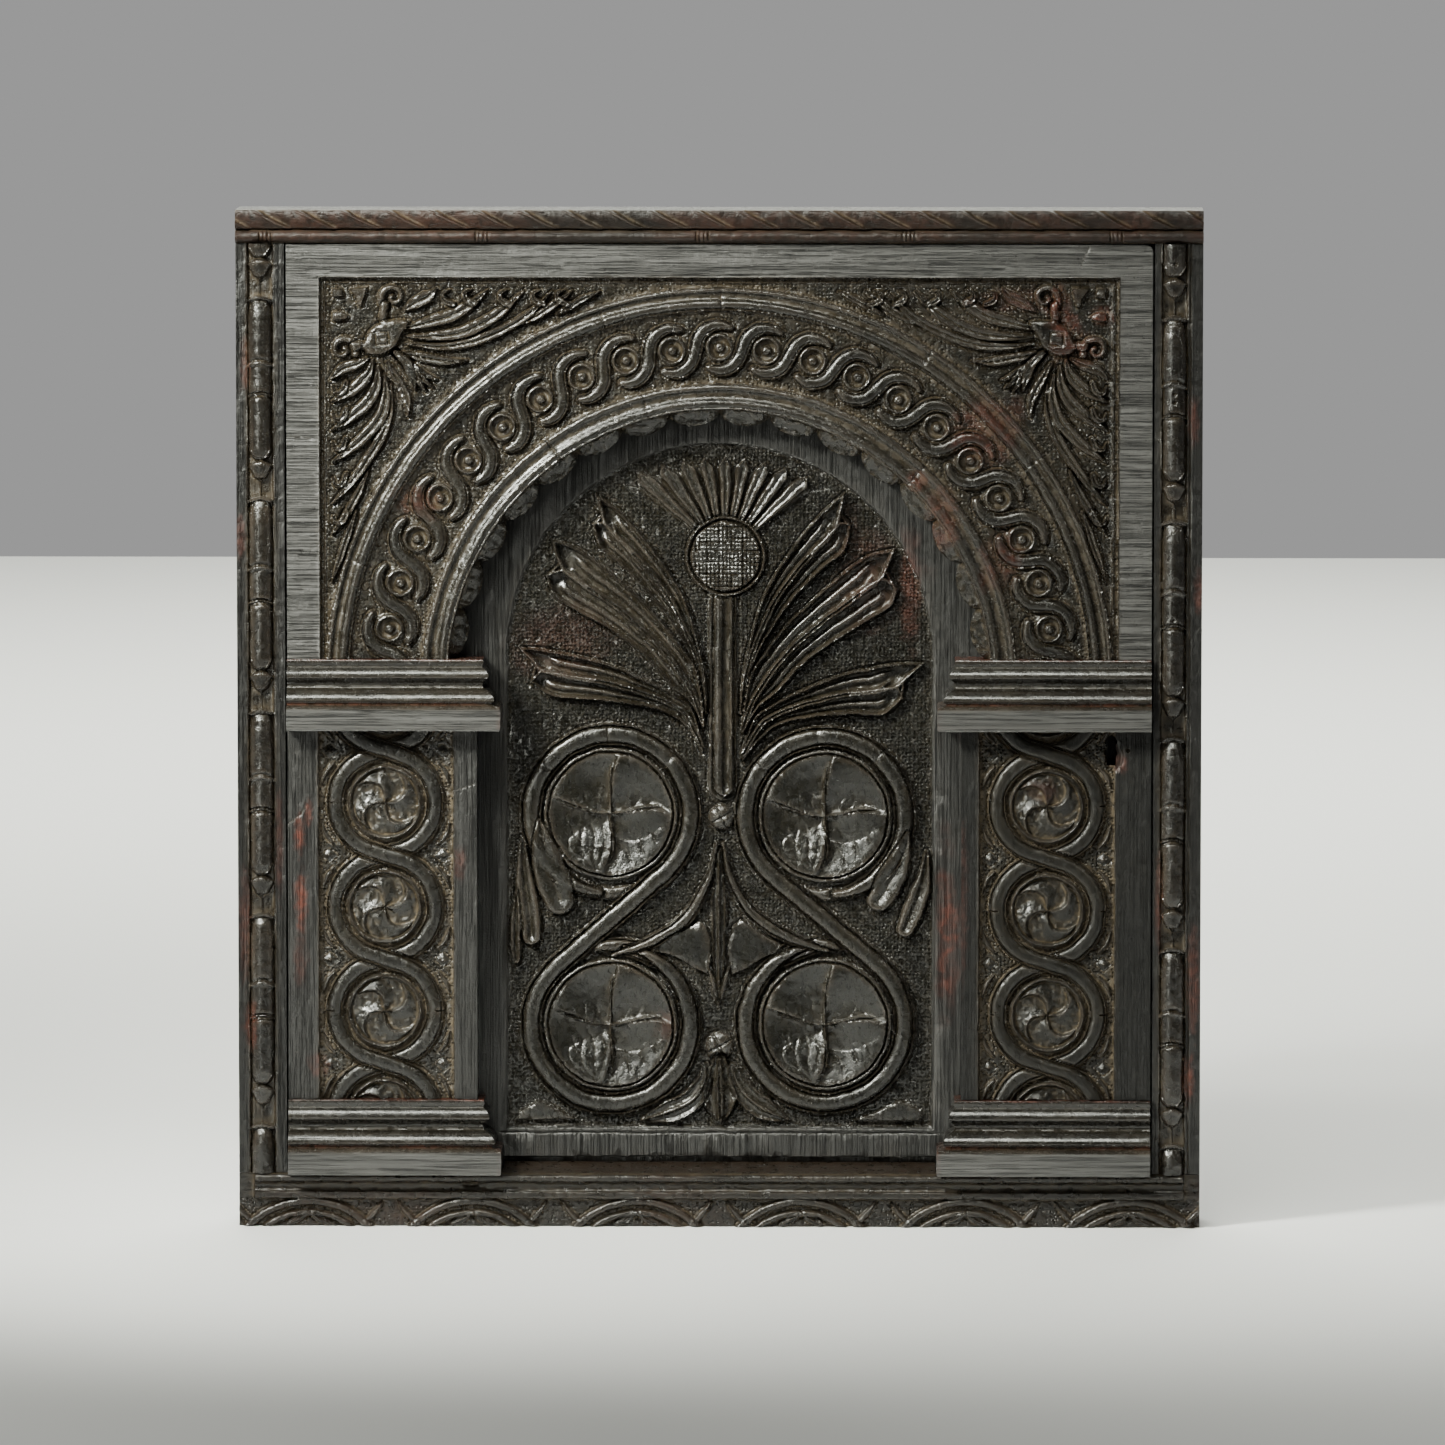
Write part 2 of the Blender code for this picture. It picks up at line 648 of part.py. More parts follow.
def channel(bm, radius, width, depth):
    """A V-shaped channel along a circle about the arch's centre."""
    centre = (0, ARCH_CENTRE_Z)
    lead = ARCH_CENTRE_DROP / radius * 0.2
    rows = []
    for x, z in arc(centre, radius, lead, math.pi - lead, RING_STEP):
        out = Vector((x, z)) - Vector(centre)
        out.normalize()
        rows.append((
            Vector((x - out.x * width / 2, BOARD_FRONT - TRIM, z - out.y * width / 2)),
            Vector((x, BOARD_FRONT + depth, z)),
            Vector((x + out.x * width / 2, BOARD_FRONT - TRIM, z + out.y * width / 2)),
        ))
    skin(bm, rows)


def bend(point):
    """Lay a point of the unrolled band (run from the crown, rise) on the arch."""
    turn = point[0] / BAND_MIDDLE
    radius = BAND_MIDDLE + point[1]
    return (radius * math.sin(turn), ARCH_CENTRE_Z + radius * math.cos(turn))


def arch_scroll(bm):
    """Roundels along the band, with an S-shaped strap between each two."""
    pitch = ARCH_ROUNDEL_PITCH * BAND_MIDDLE
    radius = pitch / 2 - ARCH_SCROLL_SPACE
    first = -(ARCH_ROUNDELS - 1) / 2
    for i in range(ARCH_ROUNDELS):
        run = (first + i) * pitch
        dome(bm, bend((run, 0)), ARCH_ROUNDEL_RADIUS, FIELD_Y, ARCH_ROUNDEL_HEIGHT, 6, 0.5)
        if i + 1 == ARCH_ROUNDELS:
            continue
        flat = winding(((run, 0), (run + pitch, 0)), radius, math.radians(-95),
                       math.radians(85), clockwise=False, step=math.radians(48))
        path = [bend(point) for point in flat]
        bar(bm, path, even(path, ARCH_SCROLL_WIDTH), RIDGE_SECTION, FIELD_Y,
            even(path, ARCH_SCROLL_HEIGHT))


def spandrel_sink(bm):
    """The sunk field of both corners, between the borders and the outer ring."""
    edge_x = ARCADE_HALF_WIDTH - BORDER_WIDTH
    edge_z = ARCADE_TOP_Z - BORDER_WIDTH
    ring = [(max(min(x, edge_x - TRIM), TRIM - edge_x), min(z, edge_z - TRIM))
            for x, z in arc((0, ARCH_CENTRE_Z), OUTER_RING_OUT, 0, math.pi, RING_STEP / 2)]
    outline = [(edge_x, ARCH_CENTRE_Z)] + ring + [(-edge_x, ARCH_CENTRE_Z)]
    outline += [(-edge_x, edge_z), (edge_x, edge_z)]
    prism(bm, outline, FIELD_Y, BOARD_FRONT - FIELD_SINK)


def spandrel_relief(bm, side):
    """Boss, curls, corner tiles, palmette and two long ribbed leaves."""
    corner_x = ARCADE_HALF_WIDTH - BORDER_WIDTH
    corner_z = ARCADE_TOP_Z - BORDER_WIDTH

    def at(from_edge, from_top):
        return (side * (corner_x - from_edge * MM), corner_z - from_top * MM)

    height = SPANDREL_HEIGHT
    boss = [at(32, 36), at(39, 33), at(46, 40), at(56, 56), at(50, 54), at(38, 48)]
    prism(bm, boss, FIELD_Y + ROOT, FIELD_Y - height)
    for place, radius in ((at(56, 17), 8), (at(17, 52), 8.5)):
        dome(bm, place, radius * MM, FIELD_Y, height, 7, 0.45)
    for tile in (
        (at(8, 6), at(18, 5), at(13, 15)),
        (at(22, 8), at(31, 7), at(25, 17)),
        (at(8, 22), at(18, 19), at(12, 30)),
    ):
        prism(bm, tile, FIELD_Y + ROOT, FIELD_Y - SPANDREL_TILE_HEIGHT)
    palmette = [at(66, 58), at(74, 66), at(84, 78)]
    bar(bm, palmette, [10 * MM, 22 * MM, 6 * MM], LEAF_SECTION, FIELD_Y, even(palmette, height))
    runs = (
        # start, lead, arrival and end from the corner; width
        ((62, 50), (16, 14), (-34, 2), (146, 8), 15),
        ((74, 44), (14, 4), (-20, 6), (112, 8), 11),
        ((96, 72), (20, -22), (-44, 12), (186, 9), 10),
        ((52, 64), (12, 16), (2, -34), (8, 150), 15),
        ((44, 76), (4, 14), (6, -20), (8, 114), 11),
        ((72, 98), (-24, 20), (14, -46), (9, 196), 10),
    )
    for start, lead, arrive, end, width in runs:
        path = curve(at(*start), (-side * lead[0] * MM, -lead[1] * MM),
                     (-side * arrive[0] * MM, -arrive[1] * MM), at(*end), 5)
        last = len(path) - 1
        widths = [width * MM * (1.0 - 0.75 * abs(2 * i / last - 0.8) / 1.2)
                  for i in range(last + 1)]
        bar(bm, path, widths, RIDGE_SECTION, FIELD_Y, even(path, height))


def arch_board():
    edge = ARCADE_HALF_WIDTH
    outline = soffit_outline()
    outline += [(-edge, ARCH_FOOT_Z), (-edge, ARCADE_TOP_Z), (edge, ARCADE_TOP_Z),
                (edge, ARCH_FOOT_Z)]
    bm = bmesh.new()
    prism(bm, outline, BOARD_BACK, BOARD_FRONT)
    board = make_object("arch_board", bm, oak("arch_board_oak", OAK_GREY))
    cut = bmesh.new()
    half_ring(cut, INNER_RING_OUT, BAND_OUT, FIELD_Y, BOARD_FRONT - FIELD_SINK)
    spandrel_sink(cut)
    channel(cut, (BAND_OUT + OUTER_RING_OUT) / 2, OUTER_RING_WIDTH * 0.6, RING_CHANNEL_DEPTH)
    channel(cut, SOFFIT_RADIUS + INNER_RING_WIDTH * 0.6, INNER_RING_WIDTH * 0.45,
            RING_CHANNEL_DEPTH)
    combine(board, cut, "arch_board_sinking", "DIFFERENCE")
    relief = bmesh.new()
    arch_scroll(relief)
    for side in (-1, 1):
        spandrel_relief(relief, side)
    combine(board, relief, "arch_board_relief", "UNION")


# Pilasters


def pilaster(side):
    name = "right_pilaster" if side > 0 else "left_pilaster"
    inner = side * PILASTER_INNER_X
    outer = side * ARCADE_HALF_WIDTH
    left = min(inner, outer)
    right = max(inner, outer)
    bm = bmesh.new()
    box(bm, (left, BOARD_FRONT, PILASTER_Z - PILASTER_PITCH),
        (right, BOARD_BACK, PILASTER_TOP_Z + PILASTER_PITCH))
    body = make_object(name, bm, oak(name + "_oak", OAK_DARK))
    field_in = inner + side * INNER_BORDER
    field_out = outer - side * OUTER_BORDER
    middle = (field_in + field_out) / 2
    cut = bmesh.new()
    box(cut, (min(field_in, field_out), BOARD_FRONT - FIELD_SINK, -OVERALL_HEIGHT),
        (max(field_in, field_out), FIELD_Y, OVERALL_HEIGHT))
    combine(body, cut, name + "_sinking", "DIFFERENCE")
    relief = bmesh.new()
    first_z = PILASTER_TOP_Z - PILASTER_PITCH * PILASTER_TOP_SHARE
    stations = [first_z - (i - 1) * PILASTER_PITCH for i in range(PILASTER_ROUNDELS + 2)]
    centres = [(middle, z) for z in stations]
    over = winding(centres, PILASTER_STRAP_RADIUS, math.pi / 3, -math.pi / 2,
                   step=PILASTER_STRAP_STEP)
    swing = math.acos(min(1.0, 2 * PILASTER_STRAP_RADIUS / PILASTER_PITCH))
    half_turn = math.pi / 2 - swing * 0.6
    unders = []
    for i, centre in enumerate(centres):
        facing = 0.0 if i % 2 else math.pi
        unders.append(arc(centre, PILASTER_STRAP_RADIUS, facing - half_turn, facing + half_turn,
                          PILASTER_STRAP_STEP))
    bar(relief, over, even(over, PILASTER_STRAP_WIDTH), BEVELLED_SECTION, FIELD_Y,
        even(over, PILASTER_STRAP_HEIGHT))
    for under in unders:
        bar(relief, under, even(under, PILASTER_STRAP_WIDTH), BEVELLED_SECTION, FIELD_Y,
            even(under, PILASTER_UNDER_HEIGHT))
    for z in stations[1:-1]:
        whirl_disc(relief, (middle, z), PILASTER_DISC_RADIUS, FIELD_Y, PILASTER_DISC_HEIGHT)
    for i in range(len(stations) - 1):
        level = (stations[i] + stations[i + 1]) / 2
        if not PILASTER_Z + LOZENGE_SIZE < level < PILASTER_TOP_Z - LOZENGE_SIZE:
            continue
        for hand in (-1, 1):
            x = middle + hand * (PILASTER_FIELD_HALF - LOZENGE_SIZE - LOZENGE_CLEARANCE)
            dome(relief, (x, level), LOZENGE_SIZE, FIELD_Y, LOZENGE_HEIGHT, 4, 0.6)
    combine(body, relief, name + "_relief", "UNION")
    length = bmesh.new()
    box(length, (left - ROOT, BOARD_FRONT - FIELD_SINK, PILASTER_Z),
        (right + ROOT, BOARD_BACK + ROOT, PILASTER_TOP_Z))
    combine(body, length, name + "_length", "INTERSECT")
    if side > 0:
        cut_keyhole(body)


def cut_keyhole(body):
    """A long keyhole, round above and square below, right through the board."""
    x = ARCADE_HALF_WIDTH - KEYHOLE_FROM_OUTER_EDGE
    z = PILASTER_TOP_Z - KEYHOLE_BELOW_IMPOST
    half = KEYHOLE_WIDTH / 2
    outline = arc((x, z - half), half, 0, math.pi, math.radians(30))
    outline += [(x - half * 0.8, z - KEYHOLE_LENGTH), (x + half * 0.8, z - KEYHOLE_LENGTH)]
    cut = bmesh.new()
    prism(cut, outline, BOARD_BACK + FIELD_SINK, BOARD_FRONT - FIELD_SINK)
    combine(body, cut, "keyhole", "DIFFERENCE")


# Moulded blocks


def block(name, side, low_z, height):
    """A moulded block whose profile returns round its inner end."""
    outer = side * ARCADE_HALF_WIDTH
    rows = []
    for share, projection in BLOCK_PROFILE:
        z = low_z + height * (1.0 - share)
        inner = side * (PILASTER_INNER_X - projection)
        rows.append((
            Vector((outer, BOARD_BACK, z)),
            Vector((inner, BOARD_BACK, z)),
            Vector((inner, BOARD_FRONT - projection, z)),
            Vector((outer, BOARD_FRONT - projection, z)),
        ))
    bm = bmesh.new()
    skin(bm, rows)
    make_object(name, bm, oak(name + "_oak", OAK_GREY))


# Frame


def extrude_section(bm, section, axis, start, stop):
    """Extrude a section of (across, y) points along X or Z."""
    if axis == "X":
        rows = [[Vector((run, y, across)) for across, y in section] for run in (start, stop)]
    else:
        rows = [[Vector((across, y, run)) for across, y in section] for run in (start, stop)]
    skin(bm, rows)


# Share of one bead period from its top, and share of the bead's half-width there
BEAD_TURNING = (
    (0.02, 0.95),
    (0.27, 0.95),
    (0.30, 0.60),
    (0.35, 1.00),
    (0.48, 0.60),
    (0.54, 0.95),
    (0.76, 0.90),
    (0.83, 0.50),
)


def stile(side):
    name = "right_stile" if side > 0 else "left_stile"
    inner = side * STILE_INNER_X
    rebate = inner + side * REBATE_WIDTH
    outer = side * HALF_WIDTH
    low = BOTTOM_RAIL_Z + FIT_GAP
    high = TOP_RAIL_Z - FIT_GAP
    section = ((inner, BOARD_FRONT), (inner, BOARD_BACK), (rebate, BOARD_BACK), (rebate, 0.0),
               (outer, 0.0), (outer, BOARD_FRONT))
    bm = bmesh.new()
    extrude_section(bm, section, "Z", low, high)
    body = make_object(name, bm, oak(name + "_oak", OAK_RED))
    middle = inner + side * (BEAD_INSET + BEAD_WIDTH / 2)
    start = TOP_RAIL_Z - BEAD_START + BEAD_PERIOD
    path = []
    shares = []
    for period in range(math.ceil((start - low) / BEAD_PERIOD)):
        for share, size in BEAD_TURNING:
            z = start - (period + share) * BEAD_PERIOD
            if low - BEAD_WIDTH < z < high + BEAD_WIDTH:
                path.append((middle, z))
                shares.append(size)
    path.append((middle, low - BEAD_WIDTH))
    shares.append(shares[-1])
    widths = [BEAD_WIDTH * share for share in shares]
    heights = [BEAD_HEIGHT * share for share in shares]
    relief = bmesh.new()
    bar(relief, path, widths, BEVELLED_SECTION, BOARD_FRONT, heights)
    keep = ((min(inner, outer) + TRIM, BOARD_FRONT - BEAD_HEIGHT * 2, low + TRIM),
            (max(inner, outer) - TRIM, BOARD_BACK - TRIM, high - TRIM))
    combine(body, relief, name + "_bead", "UNION", keep)


def rail(name, low_z, high_z, rebate_low, rebate_high, colour):
    """A square rail, rebated from behind for the width of the panel only."""
    bm = bmesh.new()
    box(bm, (-HALF_WIDTH, BOARD_FRONT, low_z), (HALF_WIDTH, 0.0, high_z))
    body = make_object(name, bm, oak(name + "_oak", colour))
    half = STILE_INNER_X + REBATE_WIDTH
    cut = bmesh.new()
    box(cut, (-half, BOARD_BACK, rebate_low), (half, PANEL_THICKNESS, rebate_high))
    combine(body, cut, name + "_rebate", "DIFFERENCE")
    return body


def top_rail():
    low = TOP_RAIL_Z
    body = rail("top_rail", low, TOP_Z, low - REBATE_WIDTH, low + REBATE_WIDTH, OAK_RED)
    relief = bmesh.new()
    bead_z = TOP_RAIL_Z + (TOP_RAIL_HEIGHT - CABLE_ZONE) / 2
    end = HALF_WIDTH - TRIM
    path = [(-HALF_WIDTH, bead_z), (HALF_WIDTH, bead_z)]
    bar(relief, path, even(path, RAIL_BEAD_WIDTH), FLAT_SECTION, BOARD_FRONT,
        even(path, RAIL_BEAD_HEIGHT))
    cable_z = TOP_Z - CABLE_ZONE / 2
    half = CABLE_ZONE / 2
    count = math.ceil(OVERALL_WIDTH / CABLE_PITCH) + 1
    for i in range(count):
        x = (i - (count - 1) / 2) * CABLE_PITCH
        path = [(x - CABLE_LEAN, cable_z + half), (x + CABLE_LEAN, cable_z - half)]
        bar(relief, path, even(path, CABLE_BAR_WIDTH), RIDGE_SECTION, BOARD_FRONT,
            even(path, CABLE_HEIGHT))
    keep = ((-end, BOARD_FRONT - CABLE_HEIGHT * 2, TOP_RAIL_Z + TRIM),
            (end, BOARD_BACK - TRIM, TOP_Z - TRIM))
    combine(body, relief, "top_rail_cable", "UNION", keep)


def bottom_rail():
    high = BOTTOM_RAIL_Z
    body = rail("bottom_rail", -TOP_Z, high, high - REBATE_WIDTH, high + REBATE_WIDTH, OAK_DARK)
    relief = bmesh.new()
    sill_half = PILASTER_INNER_X - BLOCK_REACH - TRIM
    sill = ((high - ROOT, BOARD_FRONT + ROOT), (high, BOARD_FRONT + ROOT),
            (high + SILL_RISE, BOARD_BACK - FIT_GAP), (high - ROOT, BOARD_BACK - FIT_GAP))
    extrude_section(relief, sill, "X", -sill_half, sill_half)
    # Drop below the top edge, and share of the moulding's height
    profile = (
        (TRIM, 0.6),
        (SILL_ROLL_DROP * 0.35, 1.0),
        (SILL_ROLL_DROP, 0.9),
        (SILL_HOLLOW_DROP, 0.35),
        (SILL_HOLLOW_DROP + ROOT, 0.6),
        (SILL_FILLET_DROP, 0.6),
    )
    moulding = [(high - drop_z, BOARD_FRONT - SILL_MOULD_HEIGHT * share)
                for drop_z, share in profile]
    moulding.insert(0, (high - TRIM, BOARD_FRONT + ROOT))
    moulding.append((high - SILL_FILLET_DROP, BOARD_FRONT + ROOT))
    moulding_half = STILE_INNER_X + BEAD_INSET + BEAD_WIDTH
    extrude_section(relief, moulding, "X", -moulding_half, moulding_half)
    low = -TOP_Z + TRIM
    top = high - SILL_FILLET_DROP - LUNETTE_BAR_WIDTH / 2
    count = math.ceil(OVERALL_WIDTH / LUNETTE_PITCH)
    for i in range(count):
        centre = ((i - (count - 1) / 2) * LUNETTE_PITCH, top - LUNETTE_RADIUS)
        for radius in (LUNETTE_RADIUS, LUNETTE_RADIUS - LUNETTE_INNER_GAP):
            reach = math.acos(1.0 - min(1.0, (top - low) / radius))
            ring = arc(centre, radius, math.pi / 2 - reach, math.pi / 2 + reach, LUNETTE_STEP)
            bar(relief, ring, even(ring, LUNETTE_BAR_WIDTH), RIDGE_SECTION, BOARD_FRONT,
                even(ring, LUNETTE_HEIGHT))
    keep = ((-moulding_half, BOARD_FRONT - SILL_MOULD_HEIGHT * 2, low),
            (moulding_half, BOARD_BACK - FIT_GAP, high + 2 * SILL_RISE))
    combine(body, relief, "bottom_rail_moulding", "UNION", keep)


def main():
    clear_scene()
    centre_panel()
    arch_board()
    for side, hand in ((-1, "left"), (1, "right")):
        pilaster(side)
        block(hand + "_impost", side, IMPOST_Z, IMPOST_HEIGHT)
        block(hand + "_base", side, BASE_Z, BASE_HEIGHT)
        stile(side)
    top_rail()
    bottom_rail()


main()
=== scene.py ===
import math

import bpy
import numpy as np
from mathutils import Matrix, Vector
from mathutils.geometry import tessellate_polygon


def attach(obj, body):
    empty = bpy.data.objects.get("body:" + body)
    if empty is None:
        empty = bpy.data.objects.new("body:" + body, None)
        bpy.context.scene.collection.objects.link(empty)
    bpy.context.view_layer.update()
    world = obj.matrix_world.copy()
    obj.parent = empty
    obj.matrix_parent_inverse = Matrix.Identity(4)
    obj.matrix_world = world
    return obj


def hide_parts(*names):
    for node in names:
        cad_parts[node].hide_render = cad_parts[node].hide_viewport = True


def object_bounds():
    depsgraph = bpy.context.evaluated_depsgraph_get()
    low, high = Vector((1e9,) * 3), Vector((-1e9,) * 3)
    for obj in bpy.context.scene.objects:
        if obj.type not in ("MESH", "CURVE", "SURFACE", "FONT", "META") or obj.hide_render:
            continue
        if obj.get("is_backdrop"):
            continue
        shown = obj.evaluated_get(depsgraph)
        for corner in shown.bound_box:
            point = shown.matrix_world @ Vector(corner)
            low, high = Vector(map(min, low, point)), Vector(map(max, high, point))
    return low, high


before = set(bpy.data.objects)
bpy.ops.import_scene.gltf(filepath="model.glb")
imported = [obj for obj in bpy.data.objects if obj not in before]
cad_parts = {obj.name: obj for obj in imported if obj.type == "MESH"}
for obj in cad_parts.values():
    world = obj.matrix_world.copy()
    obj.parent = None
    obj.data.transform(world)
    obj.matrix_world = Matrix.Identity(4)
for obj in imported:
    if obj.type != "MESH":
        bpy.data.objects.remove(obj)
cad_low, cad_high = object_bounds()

# All carving is worked in millimetres: x to the right, z up, depth out from the back.
MM = 0.001
HALF_WIDTH = 351.0
TOP_Z = 371.5
FOOT_Z = -371.5
PANEL_FRONT = 20.0
BOARD_BACK = 20.3
BOARD_FRONT = 50.0
FIELD = 44.5
GROUND = 16.0
STILE_INNER = 316.0
ARCADE_HALF = 314.5
TOP_RAIL_Z = 347.5
ARCADE_TOP = 346.5
BOTTOM_RAIL_Z = -332.8
BASE_Z = -332.5
BASE_TOP = -278.5
PILASTER_Z = -278.2
PILASTER_TOP = -7.0
IMPOST_Z = -6.7
IMPOST_TOP = 44.3
ARCH_FOOT = 44.6
ARCH_CENTRE = 28.8
PILASTER_INNER = 176.5
SOFFIT = 195.0
LOBE_DEPTH = 9.0
LOBES = 16
INNER_RING_OUT = 216.0
BAND_OUT = 270.0
OUTER_RING_OUT = 286.0
BAND_MIDDLE = 243.0
BORDER = 24.0
PANEL_EDGE = 325.7
PANEL_LOW = -342.5
PANEL_HIGH = 357.2
PANEL_ARCH = 155.0
FINE = 0.72
TEETH_OUT = 197.4
CORNER = 5.0
KERF = 0.3
# Angles over which an edge stays sharp, and the most triangles of a large carved face
FACE_SHARP = 52
BLOCK_SHARP = 38
MOST = 190000

# The drawing's unit, and its origin on the face of the boards and on the sunk panel
UNIT = 0.73


def face(*points):
    return [((u - 718.5) * UNIT, (719.0 - v) * UNIT) for u, v in points]


def deep(*points):
    return [((u - 717.5) * UNIT, (719.0 - v) * UNIT - 3.7) for u, v in points]


def mirrored(points):
    return [(-x, z) for x, z in points]


def smooth(points, steps=7):
    """A curve through all the points."""
    pts = [points[0]] + list(points) + [points[-1]]
    out = []
    for p0, p1, p2, p3 in zip(pts, pts[1:], pts[2:], pts[3:]):
        for k in range(steps):
            t = k / steps
            out.append(tuple(
                0.5 * (2 * b + (c - a) * t + (2 * a - 5 * b + 4 * c - d) * t * t
                       + (3 * b - a - 3 * c + d) * t ** 3)
                for a, b, c, d in zip(p0, p1, p2, p3)))
    out.append(tuple(points[-1]))
    return out


def arc(cx, cz, radius, start, stop, step=6.0):
    """Points on a circle, angles in degrees from +x towards +z."""
    count = max(2, int(abs(stop - start) / step) + 1)
    turns = np.radians(np.linspace(start, stop, count + 1))
    return [(cx + radius * math.cos(t), cz + radius * math.sin(t)) for t in turns]


def noise(X, Z, scale, seed):
    """Smooth value noise between -1 and 1, with features of about the scale."""
    table = np.random.default_rng(seed).uniform(-1, 1, (64, 64))
    u = X / scale + 1000.0
    v = Z / scale + 1000.0
    i = np.floor(u).astype(int)
    j = np.floor(v).astype(int)
    fu = u - i
    fv = v - j
    fu = fu * fu * (3 - 2 * fu)
    fv = fv * fv * (3 - 2 * fv)
    a = table[j % 64, i % 64]
    b = table[j % 64, (i + 1) % 64]
    c = table[(j + 1) % 64, i % 64]
    d = table[(j + 1) % 64, (i + 1) % 64]
    return (a * (1 - fu) + b * fu) * (1 - fv) + (c * (1 - fu) + d * fu) * fv


def clamp(value):
    return np.clip(value, 0.0, 1.0)


def tent(value, width):
    """1 at zero, falling to 0 at the width on either side."""
    return clamp(1.0 - np.abs(value) / width)


def fade(value, width):
    """0 at or under zero, 1 from the width on, with eased ends."""
    t = clamp(value / width)
    return t * t * (3 - 2 * t)


def lines(low, high, step):
    """Evenly spaced grid lines."""
    return np.linspace(low, high, int((high - low) / step))


def blur(H, cells):
    """Two box blurs in each direction."""
    n = max(1, int(round(cells)))
    for axis in (0, 1, 0, 1):
        pad = [(0, 0), (0, 0)]
        pad[axis] = (n + 1, n)
        total = np.cumsum(np.pad(H, pad, mode="edge"), axis=axis, dtype=float)
        size = H.shape[axis]
        high = np.take(total, range(2 * n + 1, 2 * n + 1 + size), axis=axis)
        low = np.take(total, range(0, size), axis=axis)
        H = (high - low) / (2 * n + 1)
    return H


class Relief:
    """A carved face as depths out from the back on a grid of x and z lines."""

    def __init__(self, xs, zs, level, seed, warp=0.35):
        self.x = np.asarray(xs, float)
        self.z = np.asarray(zs, float)
        self.gx, self.gz = np.meshgrid(self.x, self.z)
        self.X = self.gx + warp * noise(self.gx, self.gz, 9.0, seed)
        self.Z = self.gz + warp * noise(self.gx, self.gz, 9.0, seed + 1)
        self.H = np.full(self.X.shape, float(level))
        self.ground, self.red, self.flat = np.zeros((3, *self.X.shape))
        self.keep = np.ones((len(self.z) - 1, len(self.x) - 1), bool)
        self.snap = None

    def centres(self):
        """Middles of the grid's cells."""
        return np.meshgrid(0.5 * (self.x[1:] + self.x[:-1]), 0.5 * (self.z[1:] + self.z[:-1]))

    def window(self, x0, x1, z0, z1):
        i0, i1 = np.searchsorted(self.x, (x0, x1))
        j0, j1 = np.searchsorted(self.z, (z0, z1))
        return slice(max(j0 - 1, 0), j1 + 1), slice(max(i0 - 1, 0), i1 + 1)

    def around(self, points, reach):
        """The part of the grid within reach of points, with its x and z."""
        xs, zs = zip(*points)
        win = self.window(min(xs) - reach, max(xs) + reach, min(zs) - reach, max(zs) + reach)
        return win, self.X[win], self.Z[win]

    def clear(self, win, where):
        """No punched ground where something is carved."""
        self.ground[win] = np.where(where, 0.0, self.ground[win])

    def along(self, path, reach):
        """Signed distance from the path (left positive) and share of its run."""
        win, X, Z = self.around(path, reach)
        best, side = np.full((2, *X.shape), 1e9)
        run = np.zeros(X.shape)
        lx = self.x[win[1]]
        lz = self.z[win[0]]
        total = 0.0
        for (ax, az), (bx, bz) in zip(path, path[1:]):
            dx, dz = bx - ax, bz - az
            length = math.hypot(dx, dz)
            if length < 1e-6:
                continue
            i0, i1 = np.searchsorted(lx, (min(ax, bx) - reach, max(ax, bx) + reach))
            j0, j1 = np.searchsorted(lz, (min(az, bz) - reach, max(az, bz) + reach))
            part = (slice(j0, j1), slice(i0, i1))
            px = X[part] - ax
            pz = Z[part] - az
            t = clamp((px * dx + pz * dz) / length ** 2)
            d = np.hypot(px - t * dx, pz - t * dz)
            near = d < best[part]
            best[part] = np.where(near, d, best[part])
            side[part] = np.where(near, np.where(dx * pz - dz * px >= 0, d, -d), side[part])
            run[part] = np.where(near, total + t * length, run[part])
            total += length
        return win, side, run / max(total, 1e-6)

    def stroke(self, path, half, profile, level, over=False, groove=0.8, ramp=0.9, butt=False):
        """Carve a bar whose profile(across, run) gives the height above the level."""
        halves = np.atleast_1d(half)
        win, side, run = self.along(path, max(halves) + 2.6)
        w = np.maximum(np.interp(run, np.linspace(0, 1, len(halves)), halves), 0.05)
        u = np.abs(side)
        a = np.clip(side / w, -1, 1)
        edge = fade(w - u, ramp)
        inside = u < w
        if butt:
            inside &= (run > 0) & (run < 1)
        h = level + profile(a, run) * edge
        H = self.H[win]
        if groove:
            cut = groove * tent(u - w - 0.6, 1.1)
            if butt:
                cut = np.where((run > 0) & (run < 1), cut, 0.0)
            H = np.where(u >= w, H - cut, H)
        H = np.where(inside, h if over else np.maximum(H, h), H)
        self.H[win] = H
        self.clear(win, inside)

    def within(self, outline, win):
        """Whether the grid's points lie inside a closed outline."""
        X, Z = self.X[win], self.Z[win]
        inside = np.zeros(X.shape, bool)
        for (ax, az), (bx, bz) in zip(outline, outline[1:] + outline[:1]):
            if az != bz:
                inside ^= ((az > Z) != (bz > Z)) & (X < (bx - ax) * (Z - az) / (bz - az) + ax)
        return inside

    def patch(self, outline, height, level, ramp=1.2, groove=0.8, crown=0.0):
        """Raise a closed outline to a height, with eased edges."""
        win, side, _ = self.along(outline + outline[:1], 14.0)
        inside = self.within(outline, win)
        d = np.minimum(np.abs(side), 14.0)
        h = level + (height + crown * fade(d, 7.0)) * fade(d, ramp)
        H = self.H[win]
        H = np.where(inside, np.maximum(H, h),
                     H - groove * tent(d - 0.6, 1.1))
        self.H[win] = H
        self.clear(win, inside)

